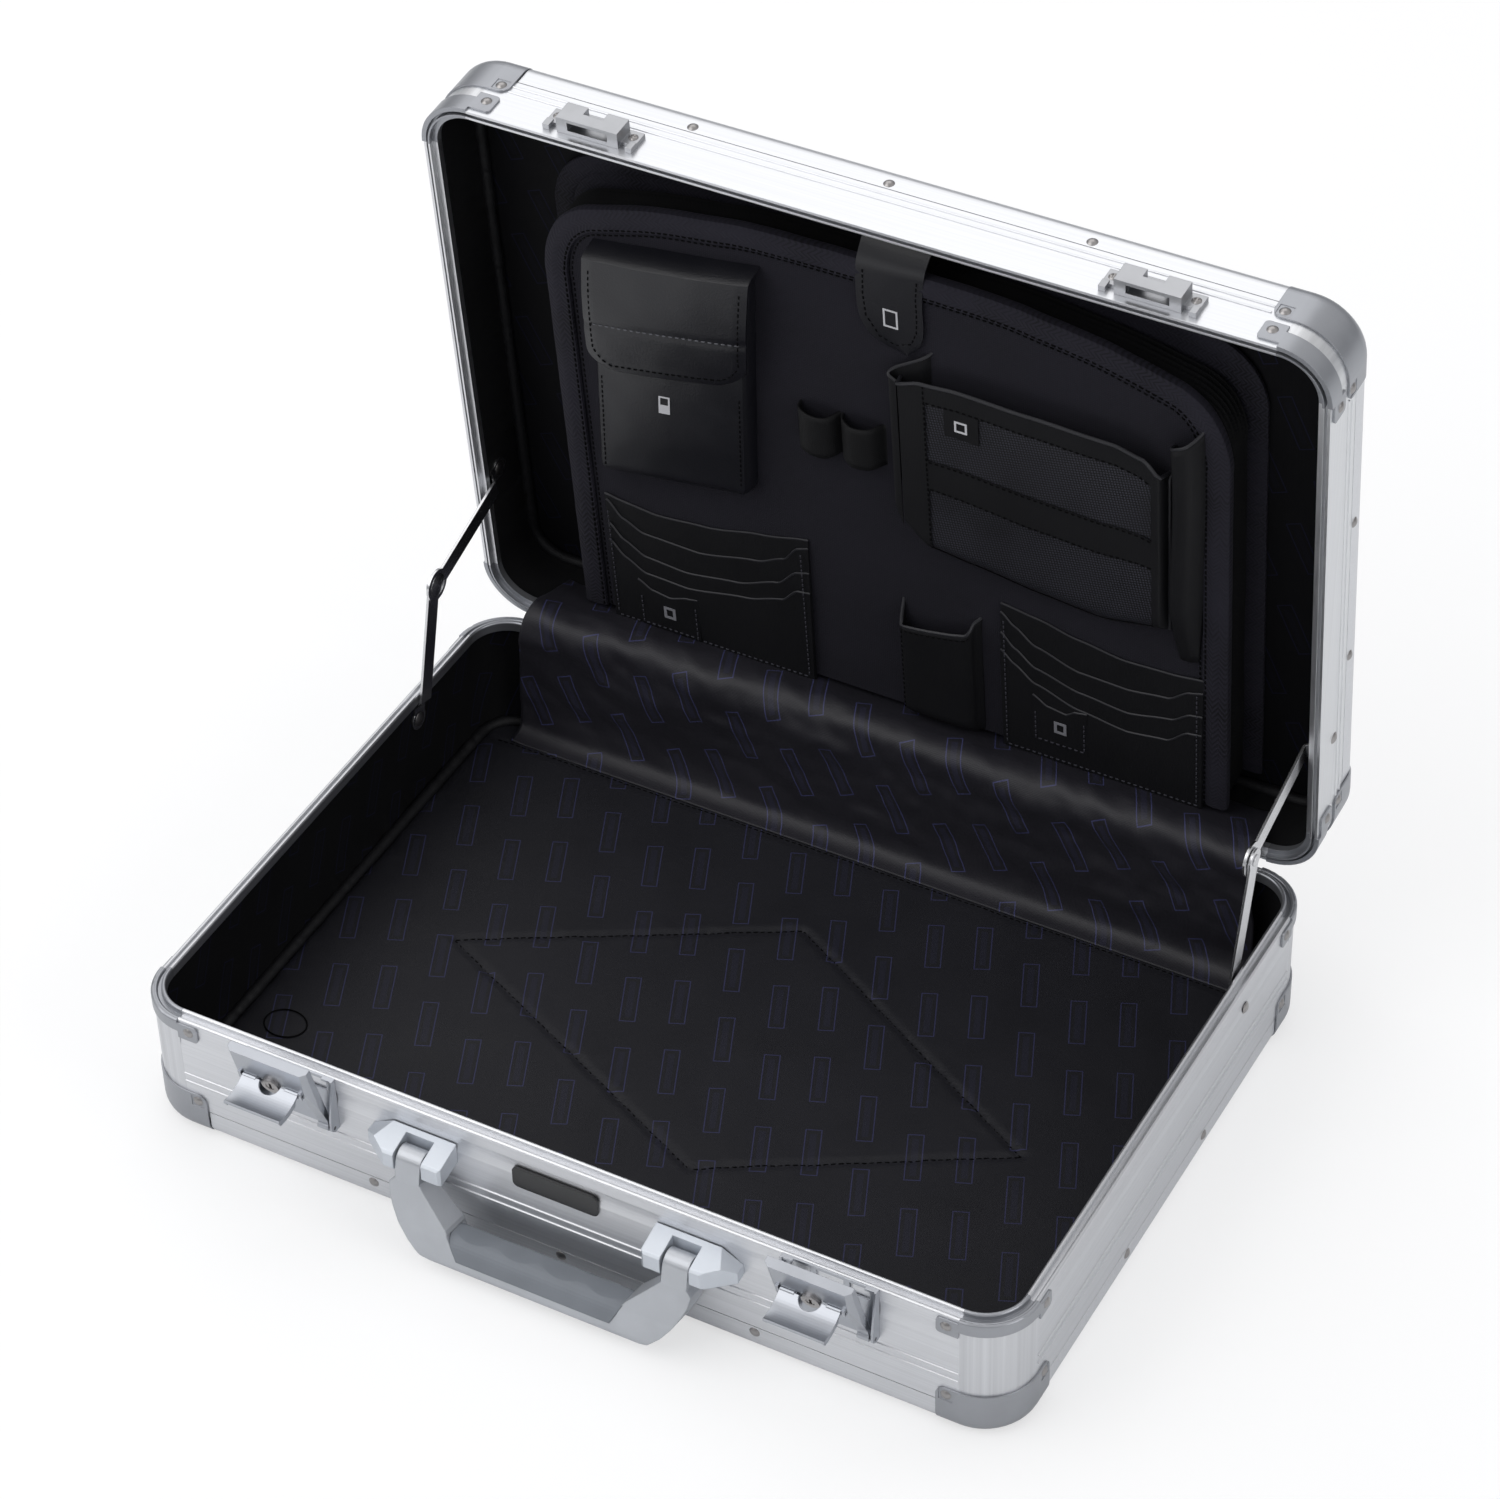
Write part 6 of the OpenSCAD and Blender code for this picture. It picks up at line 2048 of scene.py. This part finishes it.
@dataclass
class Studio:
    """Camera, floor and soft light of the photograph.

    Attributes:
        place: Where the camera stands, in millimetres.
        azimuth: Degrees from the front towards the right.
        elevation: Degrees above the floor.
        roll: Degrees by which the camera leans.
        focal_px: Focal length in pixels of the photograph.
        width_px: Width of the photograph.
        sensor: Width of the sensor in millimetres.
        floor_half: Half the floor's width in metres.
        boxes: Name, place, size in metres and power in watts of each soft box.
    """

    place: Point = (808.533, -1391.622, 1614.279)
    azimuth: float = 29.672
    elevation: float = 41.425
    roll: float = -1.781
    focal_px: float = 4703.035
    width_px: float = 1500.0
    sensor: float = 36.0
    floor_half: float = 6.0
    boxes: tuple[tuple[str, Point, float, float], ...] = (
        ("key_softbox", (-1.7, -1.5, 2.4), 3.0, 37.0),
        ("back_softbox", (-0.95, 1.35, 2.3), 2.4, 13.5),
        ("side_softbox", (2.6, -0.4, 1.5), 1.4, 14.5),
    )

    def camera(self) -> None:
        """Sets the camera where the photograph was taken from."""
        a, e, r = (math.radians(v) for v in (self.azimuth, self.elevation, self.roll))
        back = Vector((math.sin(a) * math.cos(e), -math.cos(a) * math.cos(e), math.sin(e)))
        right = (-back).cross(Vector((0, 0, 1))).normalized()
        up = right.cross(-back)
        across = right * math.cos(r) + up * math.sin(r)
        upright = up * math.cos(r) - right * math.sin(r)
        data = bpy.data.cameras.new("studio_camera")
        data.sensor_width = self.sensor
        data.lens = self.focal_px / self.width_px * self.sensor
        data.clip_end = 30.0
        camera = bpy.data.objects.new("studio_camera", data)
        bpy.context.scene.collection.objects.link(camera)
        rows = [[across[i], upright[i], back[i], self.place[i] * MM] for i in range(3)]
        camera.matrix_world = Matrix(rows + [[0, 0, 0, 1]])
        bpy.context.scene.camera = camera

    def floor(self) -> None:
        """Lays a plain pale floor under the case."""
        mesh = bpy.data.meshes.new("studio_floor")
        half = self.floor_half
        corners = [(-half, -half, 0), (half, -half, 0), (half, half, 0), (-half, half, 0)]
        mesh.from_pydata(corners, [], [(0, 1, 2, 3)])
        material = bpy.data.materials.new("white_paper_floor")
        material.use_nodes = True
        tree = material.node_tree
        tree.nodes.clear()
        glow = node(tree, "ShaderNodeEmission", {"Color": (1, 1, 1, 1), "Strength": 1.12})
        rays = node(tree, "ShaderNodeLightPath")
        # the case mirrors a grey floor while the camera sees white paper, as in a cut-out picture
        tone = node(
            tree,
            "ShaderNodeMix",
            {"Factor": rays.outputs["Is Camera Ray"], 6: linear("ECEDEE"), 7: linear("F4F4F5")},
            data_type="RGBA",
        )
        paper = node(tree, "ShaderNodeBsdfDiffuse", {"Color": tone.outputs[2]})
        share = node(tree, "ShaderNodeMath", {0: rays.outputs["Is Camera Ray"], 1: 0.5}, operation="MULTIPLY")
        wires = {0: share.outputs[0], 1: paper.outputs[0], 2: glow.outputs[0]}
        mix = node(tree, "ShaderNodeMixShader", wires)
        node(tree, "ShaderNodeOutputMaterial", {"Surface": mix.outputs[0]})
        mesh.materials.append(material)
        floor = bpy.data.objects.new("studio_floor", mesh)
        bpy.context.scene.collection.objects.link(floor)

    def light(self) -> None:
        """Lights the case with a pale room and three soft boxes."""
        world = bpy.data.worlds.new("studio_world")
        bpy.context.scene.world = world
        world.use_nodes = True
        tree = world.node_tree
        tree.nodes.clear()
        way = node(tree, "ShaderNodeTexCoord").outputs["Generated"]
        cut = node(tree, "ShaderNodeSeparateXYZ", {"Vector": way})
        ramp = node(tree, "ShaderNodeValToRGB", {"Fac": cut.outputs["Z"]})
        stops = ((0.0, (0.36, 0.37, 0.39, 1)), (0.75, (0.95, 0.95, 0.96, 1)))
        for stop, (at, tone) in zip(ramp.color_ramp.elements, stops):
            stop.position, stop.color = at, tone
        glow = node(tree, "ShaderNodeBackground", {"Color": ramp.outputs[0], "Strength": 0.75})
        white = node(tree, "ShaderNodeBackground", {"Color": (1, 1, 1, 1), "Strength": 1.0})
        rays = node(tree, "ShaderNodeLightPath")
        wires = {0: rays.outputs["Is Camera Ray"], 1: glow.outputs[0], 2: white.outputs[0]}
        mix = node(tree, "ShaderNodeMixShader", wires)
        node(tree, "ShaderNodeOutputWorld", {"Surface": mix.outputs[0]})
        for name, spot, size, watts in self.boxes:
            data = bpy.data.lights.new(name, "AREA")
            data.shape, data.size, data.energy = "SQUARE", size, watts
            lamp = bpy.data.objects.new(name, data)
            lamp.location = spot
            lamp.rotation_euler = (Vector(spot) - Vector((0, 0, 0.1))).to_track_quat("Z", "Y").to_euler()
            bpy.context.scene.collection.objects.link(lamp)

    def build(self) -> None:
        """Sets up the whole studio."""
        self.camera()
        self.floor()
        self.light()
        bpy.context.scene.view_settings.view_transform = "Standard"


def main() -> None:
    """Builds the studio and every piece in order."""
    logging.basicConfig(level=logging.INFO, format="%(name)s: %(message)s")
    Studio().build()
    MetalParts().build()
    FloorPad().build()
    WallLining(Place.BASE, 4.2, 69.2, 8.8, "base_side_lining", "base_wall_cloth", WALL_PRINT_PAINTED_SHADE, 0.12).build()
    WallLining(Place.LID, 114.6, 79.2, 110.2, "lid_side_lining", "lid_wall_cloth", SIDE_CLOTH, 0.7).build()
    LidBack().build()
    HingeCurtain().build()
    OrganiserBoard().build()
    ExpandingFolder().build()
    PhonePouch().build()
    ClosingStrap().build()
    PenLoops().build()
    CardPockets().build()
    MeshPocket().build()
    NarrowPocket().build()


if __name__ == "__main__":
    main()
